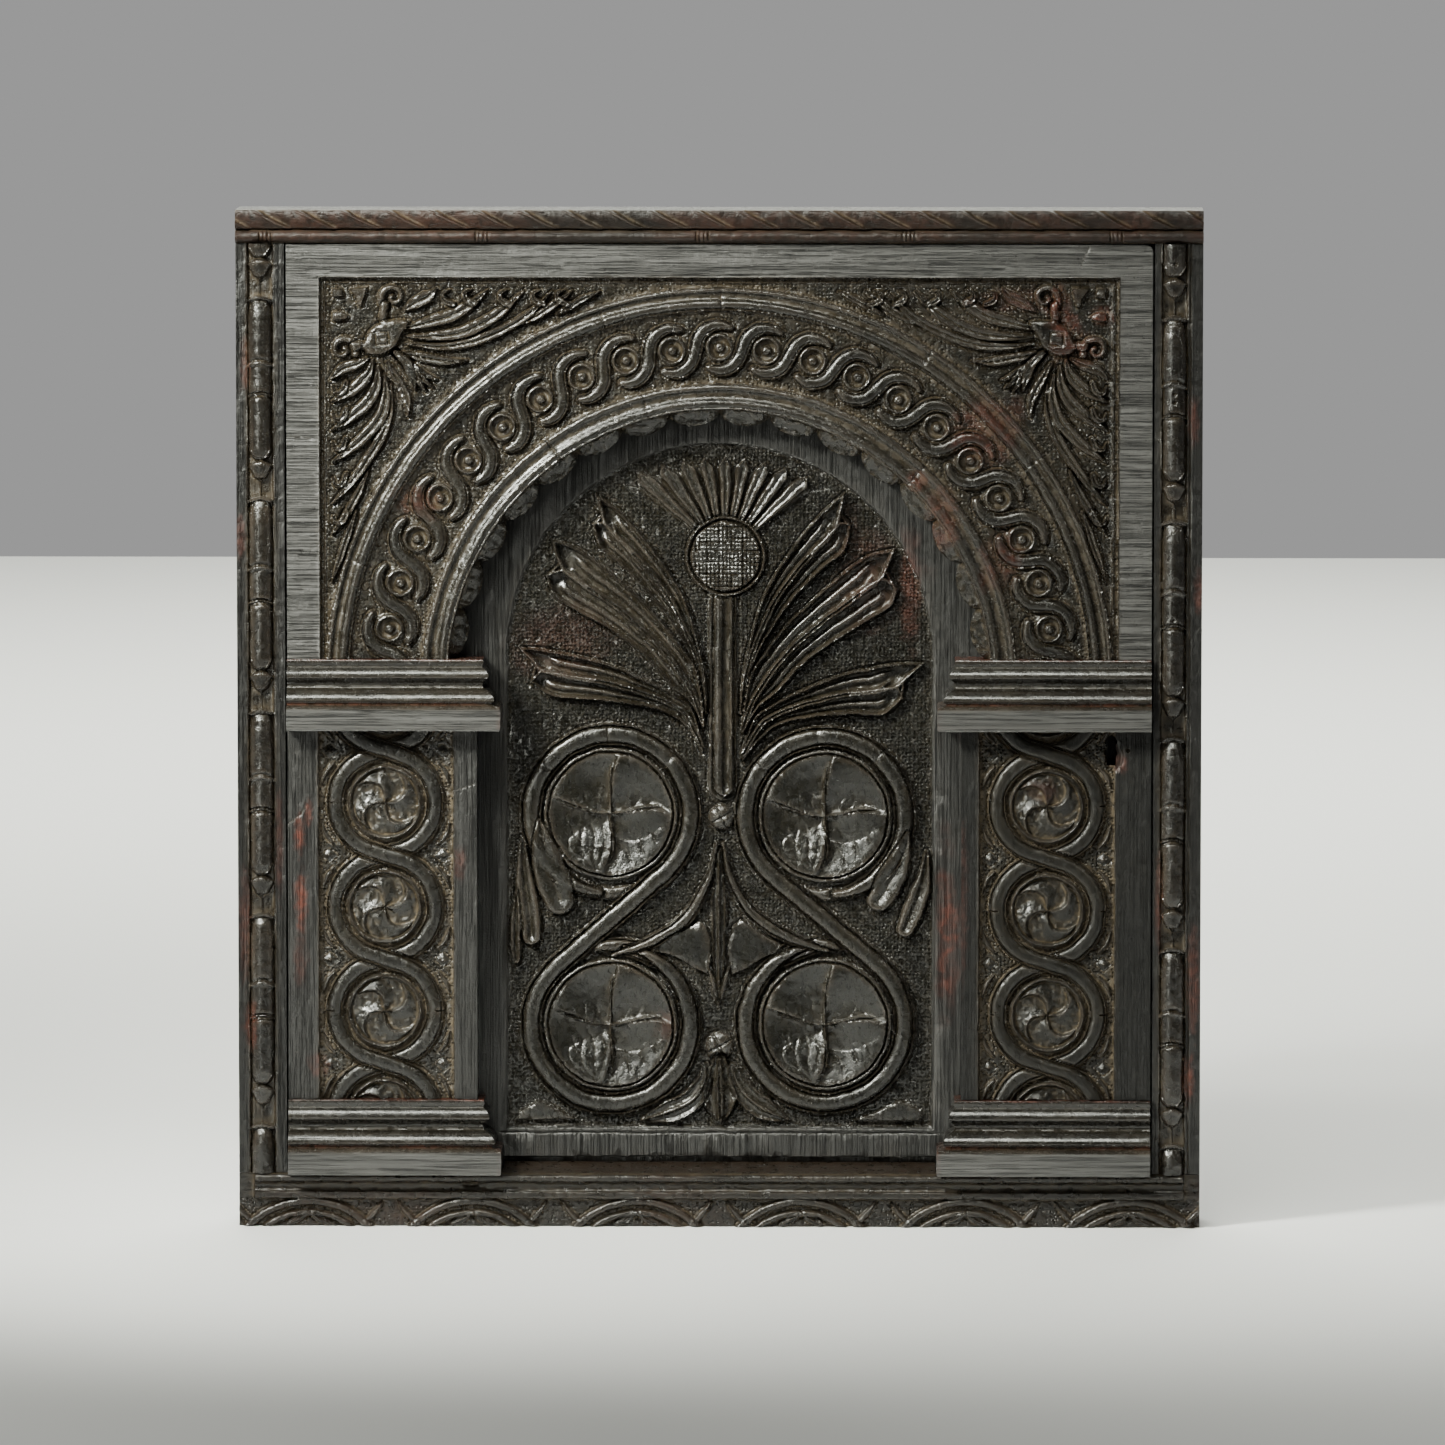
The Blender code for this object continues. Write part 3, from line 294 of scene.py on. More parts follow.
    def away(self, path, win):
        """Distance from a path over a window."""
        X, Z = self.X[win], self.Z[win]
        best = np.full(X.shape, 1e9)
        for (ax, az), (bx, bz) in zip(path, path[1:]):
            dx, dz = bx - ax, bz - az
            t = clamp(((X - ax) * dx + (Z - az) * dz) / max(dx * dx + dz * dz, 1e-9))
            best = np.minimum(best, np.hypot(X - ax - t * dx, Z - az - t * dz))
        return best

    def blade(self, upper, lower, notch, level, height=7.4, flute=-0.4, groove=2.6):
        """A fluted leaf between two edges, split at the end by a notch with a star of ribs."""
        outline = upper + [notch] + lower[::-1]
        win, _, _ = self.around(outline, 4)
        inside = self.within(outline, win)
        one = self.away(upper, win)
        two = self.away(lower, win)
        tip = self.away([upper[-1], notch, lower[-1]], win)
        d = np.minimum(np.minimum(one, two), tip)
        a = (two - one) / np.maximum(one + two, 0.01)
        wide = one + two
        rib = np.interp(np.abs(a) * wide / 2, [0, 0.4, 1.1, 1.9, 3.0], [0.6, 0.72, 1.0, 0.84, 0.0])
        rim = np.interp(d, [0, 0.4, 1.1, 1.9, 3.2], [0.75, 1.0, 1.0, 0.7, 0.0])
        near_tip = fade(17.0 - tip, 8.0) * fade(wide - 8.0, 6.0)
        swell = 0.42 * clamp(1 - (np.abs(a) - 0.52) ** 2 * 30) * fade(wide - 10.0, 6.0)
        h = np.maximum(rib * (1 - near_tip), np.maximum(rim * 0.92, swell * (1 - near_tip)))
        h = level + (flute + (height - flute) * h) * fade(d, 0.7)
        H = self.H[win]
        cut = groove * tent(d - 0.9, 1.3)
        self.H[win] = np.where(inside, h, H - cut)
        self.clear(win, inside)

        def halfway(share):
            """Half way between the two edges, some way out."""
            ends = upper[int(len(upper) * share)], lower[int(len(lower) * share)]
            return tuple(sum(c) / 2 for c in zip(*ends))

        star = halfway(0.86)
        for goal in (upper[-1], lower[-1]):
            turn = tuple(a * 0.45 + b * 0.35 + c * 0.2 for a, b, c in zip(star, goal, notch))
            self.stroke(smooth([halfway(0.7), star, turn, goal], 5), [1.4, 2.3, 1.8, 0.8],
                        rounded(height), level, groove=0, ramp=0.6)
        self.stroke([star, notch], [2.0, 1.0], rounded(height), level, groove=0, ramp=0.6)

    def line(self, path, half, depth):
        """Cut a V line."""
        win, side, _ = self.along(path, half + 0.4)
        self.H[win] -= depth * tent(side, half)

    def polar(self, cx, cz, radius):
        win = self.window(cx - radius, cx + radius, cz - radius, cz + radius)
        dx = self.X[win] - cx
        dz = self.Z[win] - cz
        return win, np.hypot(dx, dz), np.degrees(np.arctan2(dz, dx))

    def blush(self, drawn, *places):
        """Rub the colour red-brown round places (u, v, x radius, z radius, strength)."""
        for u, v, rx, rz, strength in places:
            cx, cz = drawn((u, v))[0]
            d = ((self.gx - cx) / rx) ** 2 + ((self.gz - cz) / rz) ** 2
            d = d * (1.0 + 0.5 * noise(self.gx, self.gz, min(rx, rz) * 0.6, 77))
            self.red = np.maximum(self.red, strength * clamp(1.2 - d))

    def roughen(self, amount, scale, seed, where=1.0):
        self.H += amount * where * noise(self.gx, self.gz, scale, seed)


# Profiles across a carved bar: share of the half-width, height in millimetres


def shaped(across, tall, scale=1.0):
    """The same on both sides of the middle, read off knots."""
    return lambda a, run: scale * np.interp(np.abs(a), across, tall)


def rolled(height, low, roll=0.68):
    """A broad roll between two thin rims."""
    return shaped([0, 0.3, 0.52, roll, roll + 0.07, roll + 0.1, roll + 0.17, 0.94, 1.0],
                  [height, height * 0.97, height * 0.88, height * 0.68, low, low,
                   height * 0.86, height * 0.9, height * 0.62])


def rounded(height):
    return lambda a, run: height * np.sqrt(clamp(1.0 - 0.85 * a * a))


def ridged(height):
    """A leaf with a sharp middle rib and hollow flanks."""
    return shaped([0, 0.1, 0.22, 0.6, 0.86, 1.0], [1.0, 0.92, 0.5, 0.45, 0.85, 0.7], height)


def fluted(height):
    """Two flutes on either side of a double rib with a fine groove in it."""
    return shaped([0, 0.05, 0.11, 0.19, 0.3, 0.55, 0.82, 0.92, 1.0],
                  [0.62, 0.78, 1.0, 0.82, 0.42, 0.25, 0.62, 0.95, 0.7], height)


def lobed(height):
    """A flat-topped lobe with one fine line down it."""
    return shaped([0, 0.1, 0.24, 0.7, 0.9, 1.0], [0.6, 0.72, 0.96, 1.0, 0.96, 0.8], height)


def crossing(first, second, radius):
    """How far off the line of centres a strand leaves one circle for the next, in degrees."""
    gap = math.hypot(second[0] - first[0], second[1] - first[1])
    return math.degrees(math.acos(min(1.0, 2 * radius / gap)))


def winding(first, second, radius, start, stop):
    """Round the first centre against the clock, then round the second with it."""
    heading = math.degrees(math.atan2(second[1] - first[1], second[0] - first[0]))
    leave = heading - crossing(first, second, radius)
    while leave < start:
        leave += 360.0
    enter = leave + 180.0
    while stop > enter:
        stop -= 360.0
    while stop < enter - 360.0:
        stop += 360.0
    return arc(*first, radius, start, leave) + arc(*second, radius, enter, stop)


# Arch board


def soffit_radius(theta):
    """Radius of the lobed edge at an angle from +x, in degrees."""
    foot = math.degrees(math.asin((ARCH_FOOT - ARCH_CENTRE) / SOFFIT))
    phase = (theta - foot) / (180.0 - 2 * foot) * LOBES
    return SOFFIT - LOBE_DEPTH * np.abs(np.sin(np.pi * phase)) ** 0.6, phase


def bend(points):
    return [((BAND_MIDDLE + v) * math.sin(u / BAND_MIDDLE),
             ARCH_CENTRE + (BAND_MIDDLE + v) * math.cos(u / BAND_MIDDLE)) for u, v in points]


def carve_spandrel(f, turn):
    """Leaves, a palmette and a boss, traced at the upper left and turned for the right."""
    def leaf(half, *points, profile=lobed):
        path = turn(smooth(face(*points)))
        f.stroke(path, half, profile(4.9), FIELD, groove=2.0, ramp=0.7)

    def tile(*points):
        f.patch(turn(face(*points)), 4.4, FIELD, ramp=0.8, groove=1.2)

    tile((333, 288), (343, 288), (345, 297), (334, 298))
    tile((350, 288), (369, 287), (366, 297), (363, 307), (359, 306), (357, 298))
    tile((333, 312), (342, 311), (351, 316), (347, 320), (333, 321))
    # Leaves that run along the top, the far ones first
    leaf([1, 3.0, 2.6, 0.5], (556, 314), (579, 301), (600, 291))
    leaf([1, 3.2, 3.2, 0.6], (516, 325), (540, 314), (560, 300), (573, 290))
    leaf([1, 3.0, 4.0, 3.8, 3.0, 0.6], (406, 343), (436, 346), (466, 343), (497, 332), (530, 313),
         (552, 291))
    leaf([1.2, 4.0, 4.8, 4.2, 0.8], (408, 336), (434, 336), (466, 331), (496, 315), (524, 291))
    leaf([1.4, 4.2, 5.2, 4.0, 0.8], (405, 328), (425, 323), (450, 316), (470, 305), (488, 290))
    leaf([1.5, 4.6, 5.0, 1.0], (405, 310), (416, 303), (429, 296), (437, 288))
    for px, py in ((446, 290), (468, 289), (503, 290), (536, 290), (560, 290)):
        leaf([2.2, 2.6, 1.8, 0.5], (px + 8, py + 14), (px - 1, py + 10), (px - 2, py + 3),
             (px + 5, py))
    # Leaves that run down the side
    leaf([1, 3.0, 2.6, 0.5], (357, 510), (345, 545), (332, 582))
    leaf([1, 3.2, 3.2, 0.6], (369, 470), (357, 496), (345, 517), (332, 534))
    leaf([1, 3.0, 4.0, 3.8, 3.0, 0.6], (392, 384), (391, 408), (384, 432), (370, 456), (353, 480),
         (333, 504))
    leaf([1.2, 4.0, 4.8, 4.2, 0.8], (385, 374), (387, 394), (380, 418), (361, 440), (333, 462))
    leaf([1.4, 4.2, 5.0, 4.0, 0.8], (379, 366), (378, 384), (369, 401), (353, 415), (332, 430))
    leaf([1.5, 4.6, 4.6, 1.0], (373, 360), (369, 374), (355, 388), (333, 401))
    leaf([1.5, 4.2, 4.2, 1.0], (368, 358), (357, 364), (343, 369), (332, 378))
    for px, py in ((333, 390), (333, 417), (333, 446), (333, 482), (333, 520)):
        leaf([2.2, 2.6, 1.8, 0.5], (px + 14, py - 8), (px + 10, py + 1), (px + 3, py + 2),
             (px, py - 5))
    # Palmette and the beaded leaves beside it
    leaf([1.5, 3.6, 3.8, 0.8], (396, 352), (425, 357), (448, 361), (468, 360))
    leaf([1.5, 3.4, 3.6, 0.8], (388, 362), (400, 382), (408, 400), (409, 416))
    for tip in ((438, 379), (434, 387), (426, 391), (416, 390)):
        leaf([2.0, 3.6, 3.2, 0.8], (396, 352), (407, 362),
             ((tip[0] + 411) / 2, (tip[1] + 368) / 2), tip)
    for k in range(7):
        for u, v in ((412 + 7 * k, 355 + 0.9 * k), (393 + 2.4 * k, 368 + 6.4 * k)):
            win, r, _ = f.polar(*turn(face((u, v)))[0], 1.6)
            f.H[win] = np.where(r < 1.5, f.H[win] - 1.2 * (1 - r / 1.5), f.H[win])
    # Volutes
    for cx, cy, start, way in ((394, 297, 230, -1), (344, 349, -20, 1)):
        centre = face((cx, cy))[0]
        spiral = []
        for k in range(30):
            t = k / 29
            angle = math.radians(start + way * 430 * t)
            r = 8.6 * (1 - t) ** 0.8 + 1.0
            spiral.append((centre[0] + r * math.cos(angle), centre[1] + r * math.sin(angle)))
        f.stroke(turn(spiral), [3.2, 3.0, 2.6, 2.2, 1.8, 2.0], rounded(4.9), FIELD, groove=1.6,
                 ramp=0.7)
    leaf([3.0, 3.4, 3.0], (385, 324), (384, 314), (386, 305), profile=rounded)
    leaf([3.0, 3.4, 3.0], (368, 346), (361, 345), (355, 346), profile=rounded)
    # Boss with its square eye
    boss = face((364, 343), (370, 330), (383, 321), (397, 319), (411, 321), (403, 335),
                (397, 347), (384, 355), (371, 355), (365, 350))
    f.patch(turn(smooth(boss + [boss[0]], 4)[:-1]), 4.9, FIELD, ramp=1.8, crown=0.3, groove=2.0)
    eye = turn(face((376, 332), (389, 331), (390, 344), (377, 345), (376, 332)))
    f.line(eye, 1.4, 1.8)
    f.line(turn(face((380, 338), (386, 338))), 1.6, 1.0)


def carve_arch():
    xs = lines(-ARCADE_HALF, ARCADE_HALF, FINE)
    zs = lines(ARCH_FOOT, ARCADE_TOP, FINE)
    f = Relief(xs, zs, BOARD_FRONT, 3, 0.3)
    X, Z = f.X, f.Z
    R = np.hypot(X, Z - ARCH_CENTRE)
    theta = np.degrees(np.arctan2(Z - ARCH_CENTRE, X))
    border = np.minimum(ARCADE_HALF - BORDER - np.abs(X), ARCADE_TOP - BORDER - Z)
    band = np.minimum(R - INNER_RING_OUT, BAND_OUT - R)
    corner = np.minimum(border, R - OUTER_RING_OUT)
    sink = BOARD_FRONT - FIELD
    f.H -= sink * fade(band, 0.9) + sink * fade(corner, 0.9)
    f.ground = np.where((band > 0.5) | (corner > 0.5), 1.0, 0.0)
    # The flat border's mask takes the finish's painted grey sheen
    f.flat = fade(-border, 1.0) * (R > OUTER_RING_OUT)
    f.H += np.where(corner > 0, 1.5 * tent(border - 4.0, 1.3), 0.0)
    outer = np.interp(R, [270, 270.8, 271.8, 273, 274.6, 276.2, 277.4, 278.4, 280.2, 282, 283,
                          284, 285, 286],
                      [48.0, 46.8, 48.6, 49.7, 50, 49.6, 48.2, 47.2, 46.8, 47.3, 48.8, 49.7,
                       49.8, 48.6])
    inner = np.interp(R, [TEETH_OUT, 198.2, 199, 199.7, 200.4, 202, 204, 205.4, 207, 209.6, 211.4,
                          212.4, 213.6, 215, 216],
                      [47.4, 49.0, 49.2, 48.3, 49.5, 50, 49.6, 48.2, 47.2, 47.0, 48.2, 49.4,
                       49.9, 49.6, 48.4])
    ring_out = (R >= BAND_OUT) & (R <= OUTER_RING_OUT) & (border > -0.5)
    f.H = np.where(ring_out, outer, f.H)
    f.H = np.where((R >= TEETH_OUT) & (R <= INNER_RING_OUT), inner, f.H)
    phase = soffit_radius(theta)[1]
    near = np.abs(phase - np.round(phase))
    drop = clamp((TEETH_OUT - R) / 11.4)
    lobe = 43.0 - 9.5 * drop ** 1.2 + 3.2 * np.sin(np.pi * np.minimum(near * 2, 1) / 2) ** 0.6
    lobe = lobe - 3.5 * tent(near, 0.07) + 1.4 * tent(near - 0.13, 0.05)
    f.H = np.where(R < TEETH_OUT, lobe + 0.9 * noise(X, Z, 3.0, 15), f.H)
    # Running scroll
    pitch = math.radians(8.1) * BAND_MIDDLE
    radius = pitch / 2 - 0.7
    for i in range(-11, 12):
        flat = winding((i * pitch, 0.0), ((i + 1) * pitch, 0.0), radius, -118.0, 60.0)
        f.stroke(bend(flat), [3.2, 5.0, 5.5, 5.5, 5.5, 5.4, 5.0, 4.2, 2.6],
                 rolled(4.9, 2.4, 0.62), FIELD, over=True, groove=2.0, ramp=0.7)
    for i in range(-10, 11):
        cx, cz = bend([(i * pitch, 0.0)])[0]
        win, r, _ = f.polar(cx, cz, 12.6)
        disc = np.interp(r, [0, 0.8, 1.5, 2.8, 3.6, 4.6, 6.8, 7.6, 8.4, 9.6, 10.2, 10.8, 11.4],
                         [3.0, 4.6, 4.8, 4.0, 0.2, -1.0, -0.6, 1.4, 3.8, 3.8, 2.2, 0.6, 0.4])
        disc = disc + 0.3 * noise(f.X[win], f.Z[win], 3.0, 300 + i)
        f.H[win] = np.where(r < 11.2, np.maximum(FIELD + disc, f.H[win] * (r > 10.6)), f.H[win])
        f.clear(win, r < 11.0)
    for turn in (list, mirrored):
        carve_spandrel(f, turn)
    # Cross ticks cut over the rings
    for (u, v), (lo, hi) in (((490, 375), (270, 286)), ((600, 310), (270, 286)),
                             ((720, 297), (270, 286)), ((928, 354), (270, 286)),
                             ((645, 404), (197, 216)), ((552, 448), (197, 216)),
                             ((556, 452), (197, 216)), ((353, 560), (270, 286)),
                             ((1020, 470), (270, 286)), ((921, 468), (197, 216))):
        x, z = face((u, v))[0]
        t = math.atan2(z - ARCH_CENTRE, x)
        f.line([(r * math.cos(t), ARCH_CENTRE + r * math.sin(t)) for r in (lo, hi)], 0.8, 1.0)
    f.roughen(0.35, 3.2, 11, f.ground)
    f.roughen(0.16, 5.0, 12)
    # Sawn and planed unevenness of the flat borders, and a scar in the left one
    f.H -= f.flat * (0.25 + 0.2 * noise(f.gx, f.gz, 26.0, 13))
    f.line(face((286, 436), (318, 437)), 0.9, 0.7)
    f.line(face((1086, 246), (1078, 266)), 1.0, 0.6)
    f.blush(face, (1055, 302, 10, 12, 0.5), (1063, 325, 12, 10, 0.45), (1098, 316, 9, 7, 0.5),
            (940, 520, 14, 26, 0.3), (915, 480, 8, 8, 0.4), (1000, 560, 16, 24, 0.25),
            (1020, 300, 40, 10, 0.2), (1075, 350, 20, 12, 0.3), (985, 430, 26, 30, 0.3),
            (420, 500, 20, 12, 0.25))
    CX, CZ = f.centres()
    CR = np.hypot(CX, CZ - ARCH_CENTRE)
    f.keep = CR > soffit_radius(np.degrees(np.arctan2(CZ - ARCH_CENTRE, CX)))[0]
    # The right upper corner is worn round
    out_x = CX - (ARCADE_HALF - CORNER)
    out_z = CZ - (ARCADE_TOP - CORNER)
    f.keep &= ~((out_x > 0) & (out_z > 0) & (np.hypot(out_x, out_z) > CORNER))

    def snap(x, z):
        """Move points of the outline on to the lobed edge and the round corner."""
        r = np.hypot(x, z - ARCH_CENTRE)
        t = np.degrees(np.arctan2(z - ARCH_CENTRE, x))
        goal = soffit_radius(t)[0]
        inside = (r < 199.0) & (z > ARCH_FOOT + 0.01)
        scale = np.where(inside, goal / np.maximum(r, 1.0), 1.0)
        x = x * scale
        z = np.where(inside, ARCH_CENTRE + (z - ARCH_CENTRE) * scale, z)
        px = x - (ARCADE_HALF - CORNER)
        pz = z - (ARCADE_TOP - CORNER)
        away = np.hypot(px, pz)
        round_it = (px > 0) & (pz > 0)
        scale = np.where(round_it, CORNER / np.maximum(away, 0.1), 1.0)
        return (np.where(round_it, ARCADE_HALF - CORNER + px * scale, x),
                np.maximum(np.where(round_it, ARCADE_TOP - CORNER + pz * scale, z), ARCH_FOOT))

    f.snap = snap
    return f


# Pilasters


def carve_pilaster(side):
    low, high = sorted((side * PILASTER_INNER, side * ARCADE_HALF))
    xs = lines(low, high, FINE * 0.95)
    zs = lines(PILASTER_Z, PILASTER_TOP, FINE * 0.95)
    f = Relief(xs, zs, BOARD_FRONT, 21 + side, 0.4)
    left = low + (22.0 if side < 0 else 12.5)
    right = high - (17.0 if side < 0 else 26.0)
    middle = (left + right) / 2 + (-0.5 if side < 0 else 0.0)
    inside = np.minimum(f.X - left, right - f.X)
    f.H -= (BOARD_FRONT - FIELD) * fade(inside, 0.9)
    f.ground = np.where(inside > 0.5, 1.0, 0.0)
    f.flat = fade(-inside, 1.0)
    pitch = 76.6
    first = (719 - (802 if side < 0 else 805)) * UNIT
    stations = [first + (1 - k) * pitch for k in range(5)]
    radius = 36.6
    half = 6.7
    profile = rolled(5.2, 1.9)

    def lean(k):
        return middle + (1.0 if side > 0 else -0.7) * (k - 1) * 0.5

    def strand(k, hand):
        """From one side of roundel k to the other side of the next roundel."""
        a = (lean(k), stations[k])
        b = (lean(k + 1), stations[k + 1])
        swing = crossing(a, b, radius)
        if hand < 0:
            return arc(*a, radius, 180, 270 - swing) + arc(*b, radius, 90 - swing, 0)
        return arc(*a, radius, 0, -90 + swing) + arc(*b, radius, 90 + swing, 180)

    for hand, groove in ((1, 0.9), (-1, 1.8)):
        for k in range(4):
            f.stroke(strand(k, hand), half, profile, FIELD, over=True, groove=groove, butt=True)
    for k in range(5):
        z = stations[k]
        win, r, a = f.polar(lean(k), z, 28.5)
        rho = r / 24.0
        swirl = (a - 14.0 - 55.0 * rho + 20 * np.sin(np.pi * rho)) / 90.0
        part = swirl - np.floor(swirl)
        blade = 0.2 + 3.3 * part ** 1.5 * fade(1 - part, 0.14)
        rib = clamp(1 - np.abs(part - 0.9) * np.maximum(r, 2.0) / 4.5)
        disc = blade + 1.2 * rib - 0.5 * clamp(1 - np.abs(part - 0.35) * r / 4.0)
        disc = disc * fade(24.0 - r, 1.6)
        rim = 4.6 * tent(r - 25.8, 2.0) ** 0.6
        h = FIELD + np.where(r < 23.6, disc, rim)
        for size, scale, seed in ((0.45, 2.2, 5), (0.3, 5.0, 9)):
            h = h + size * noise(f.X[win], f.Z[win], scale, seed + k)
        f.H[win] = np.where(r < 27.8, h, f.H[win])
        f.clear(win, r < 27.8)
    for k in range(4):
        z = (stations[k] + stations[k + 1]) / 2 - 1.0
        for hand in (-1, 1):
            edge = left if hand < 0 else right
            cx = edge - hand * 8.2
            size = 6.0
            outline = [(cx - size, z), (cx, z + size * 0.85), (cx + size, z), (cx, z - size * 0.85)]
            f.patch(outline, 2.0, FIELD, ramp=5.0, groove=0.8, crown=3.2)
            for reach in (-1, 1):
                run = [(cx - hand * 3, z + reach * 9), (cx + hand * 2, z + reach * 15),
                       (cx + hand * 5, z + reach * 24)]
                f.stroke(smooth(run), [1.2, 2.0, 0.8], rounded(3.0), FIELD, groove=0.5)
    f.roughen(0.4, 2.8, 31, f.ground)
    f.roughen(0.2, 4.0, 32)
    f.H -= f.flat * (0.3 + 0.3 * noise(f.gx, f.gz, 22.0, 33))
    if side < 0:
        f.line(face((284, 826), (300, 815), (306, 806)), 1.2, 0.5)
        f.line(face((452, 790), (474, 783)), 1.0, 0.5)
        f.blush(face, (299, 834, 3.5, 16, 1.0), (301, 902, 4.5, 22, 1.0), (308, 812, 3, 9, 0.8),
                (459, 862, 4, 14, 0.45), (300, 960, 5, 20, 0.3), (318, 1066, 8, 10, 0.4),
                (282, 900, 2, 90, 0.6))
    else:
        f.blush(face, (1118, 760, 6, 8, 0.5), (962, 900, 3, 60, 0.25), (1043, 790, 12, 10, 0.15))
        # The keyhole
        CX, CZ = f.centres()
        wob = 0.5 * noise(CX, CZ, 3.0, 41)
        hx = CX - 285.5 + wob
        top = PILASTER_TOP - 4.0 - 4.5
        foot = PILASTER_TOP - 4.0 - 22.3
        wide = np.interp(CZ, [foot, top - 4, top], [3.6, 3.8, 4.4])
        hole = (np.abs(hx) < wide) & (CZ < top) & (CZ > foot)
        hole |= np.hypot(hx, CZ - top) < 4.4
        f.keep &= ~hole
        win, r, _ = f.polar(286.5, (top + foot) / 2 - 1.5, 18.0)
        chip = fade(1.0 - np.hypot((f.X[win] - 287.5) / 8.0, (f.Z[win] - foot - 7) / 14.0), 0.4)
        f.H[win] -= 1.5 * chip
        f.blush(lambda place: [place], (288.5, foot + 5, 6, 10, 0.35))
        win, r, _ = f.polar(*face((1126, 749))[0], 2.0)
        f.H[win] -= np.where(r < 1.4, 3.0, 0.0)
    return f


# Centre panel


def graded(low, first, last, high, coarse, fine):
    """Grid lines that are close from first to last and far apart outside."""
    ends = [np.linspace(low, first, max(2, int((first - low) / coarse)) + 1)[:-1],
            lines(first, last, fine),
            np.linspace(last, high, max(2, int((high - last) / coarse)) + 1)[1:]]
    return np.concatenate(ends)


def carve_disc(f, cx, cz):
    """A dished disc, quartered by curved ridges, each quarter rising to the next ridge."""
    size = 45.0
    win, r, a = f.polar(cx, cz, 48.8)
    rho = r / size
    turns = [base + lead * rho + bulge * np.sin(np.pi * clamp(rho)) for base, lead, bulge in (
        (0.0, 3.0, 10.0), (90.0, -5.0, 2.0), (180.0, -14.0, -3.0), (270.0, -7.0, 8.0))]
    ang = a % 360.0
    part = np.zeros(ang.shape)
    for k in range(4):
        start = turns[k]
        stop = turns[(k + 1) % 4] + (360.0 if k == 3 else 0.0)
        for lap in (0.0, 360.0):
            t = (ang + lap - start) / (stop - start)
            part = np.where((t >= 0) & (t < 1), t, part)
    dist = np.minimum(part, 1 - part) * 90.0 * np.radians(1.0) * r
    dish = -3.4 + 9.6 * rho ** 2.0
    blade = 8.0 * part ** 1.35 * np.sin(np.pi * clamp(rho) ** 0.8) ** 0.6
    h = dish + blade * fade(1 - part, 0.05)
    ridge = 5.2 * tent(dist, 1.7) * fade(1.04 - rho, 0.4)
    h = GROUND + np.minimum(np.maximum(h, ridge + 1.6 * rho), 8.2)
    h += 0.25 * noise(f.X[win], f.Z[win], 2.4, 9)
    rim = GROUND + np.interp(r, [45, 45.8, 46.4, 47.4, 48.4, 49.0, 50.0],
                             [2.0, 1.6, 4.6, 5.2, 4.6, 1.6, 1.2])
    beyond = np.where(r < 50.0, np.maximum(rim, f.H[win] * (r > 49.0)), f.H[win])
    f.H[win] = np.where(r < size, h, beyond)
    f.clear(win, r < 48.6)

    def vein(half, depth, *points):
        f.line([(cx + x * UNIT, cz + z * UNIT) for x, z in smooth(list(points))], half, depth)

    # A lily cut in the lower left quarter, and curls in the others
    for line in (((-14, -56), (-26, -44), (-30, -28), (-27, -14)),
                 ((-14, -56), (-17, -40), (-16, -24), (-20, -10)),
                 ((-14, -56), (-8, -42), (-6, -28), (-8, -14)),
                 ((-27, -46), (-40, -38), (-42, -26), (-34, -18)),
                 ((-30, -28), (-36, -22), (-38, -12))):
        vein(0.9, 0.9, *line)
    for k in range(3):
        vein(0.9, 0.8, (-8 - 13 * k, 4 + k), (-13 - 12 * k, 12), (-12 - 13 * k, 24 - 4 * k))
        vein(0.9, 0.6, (12 + 13 * k, 8), (18 + 12 * k, 18), (14 + 12 * k, 30 - 5 * k))
        vein(0.9, 0.9, (8 + 15 * k, -30 + 6 * k), (16 + 13 * k, -36 + 8 * k),
             (20 + 13 * k, -50 + 11 * k))
    vein(1.0, 0.8, (4, -24), (22, -27), (38, -22), (52, -12))


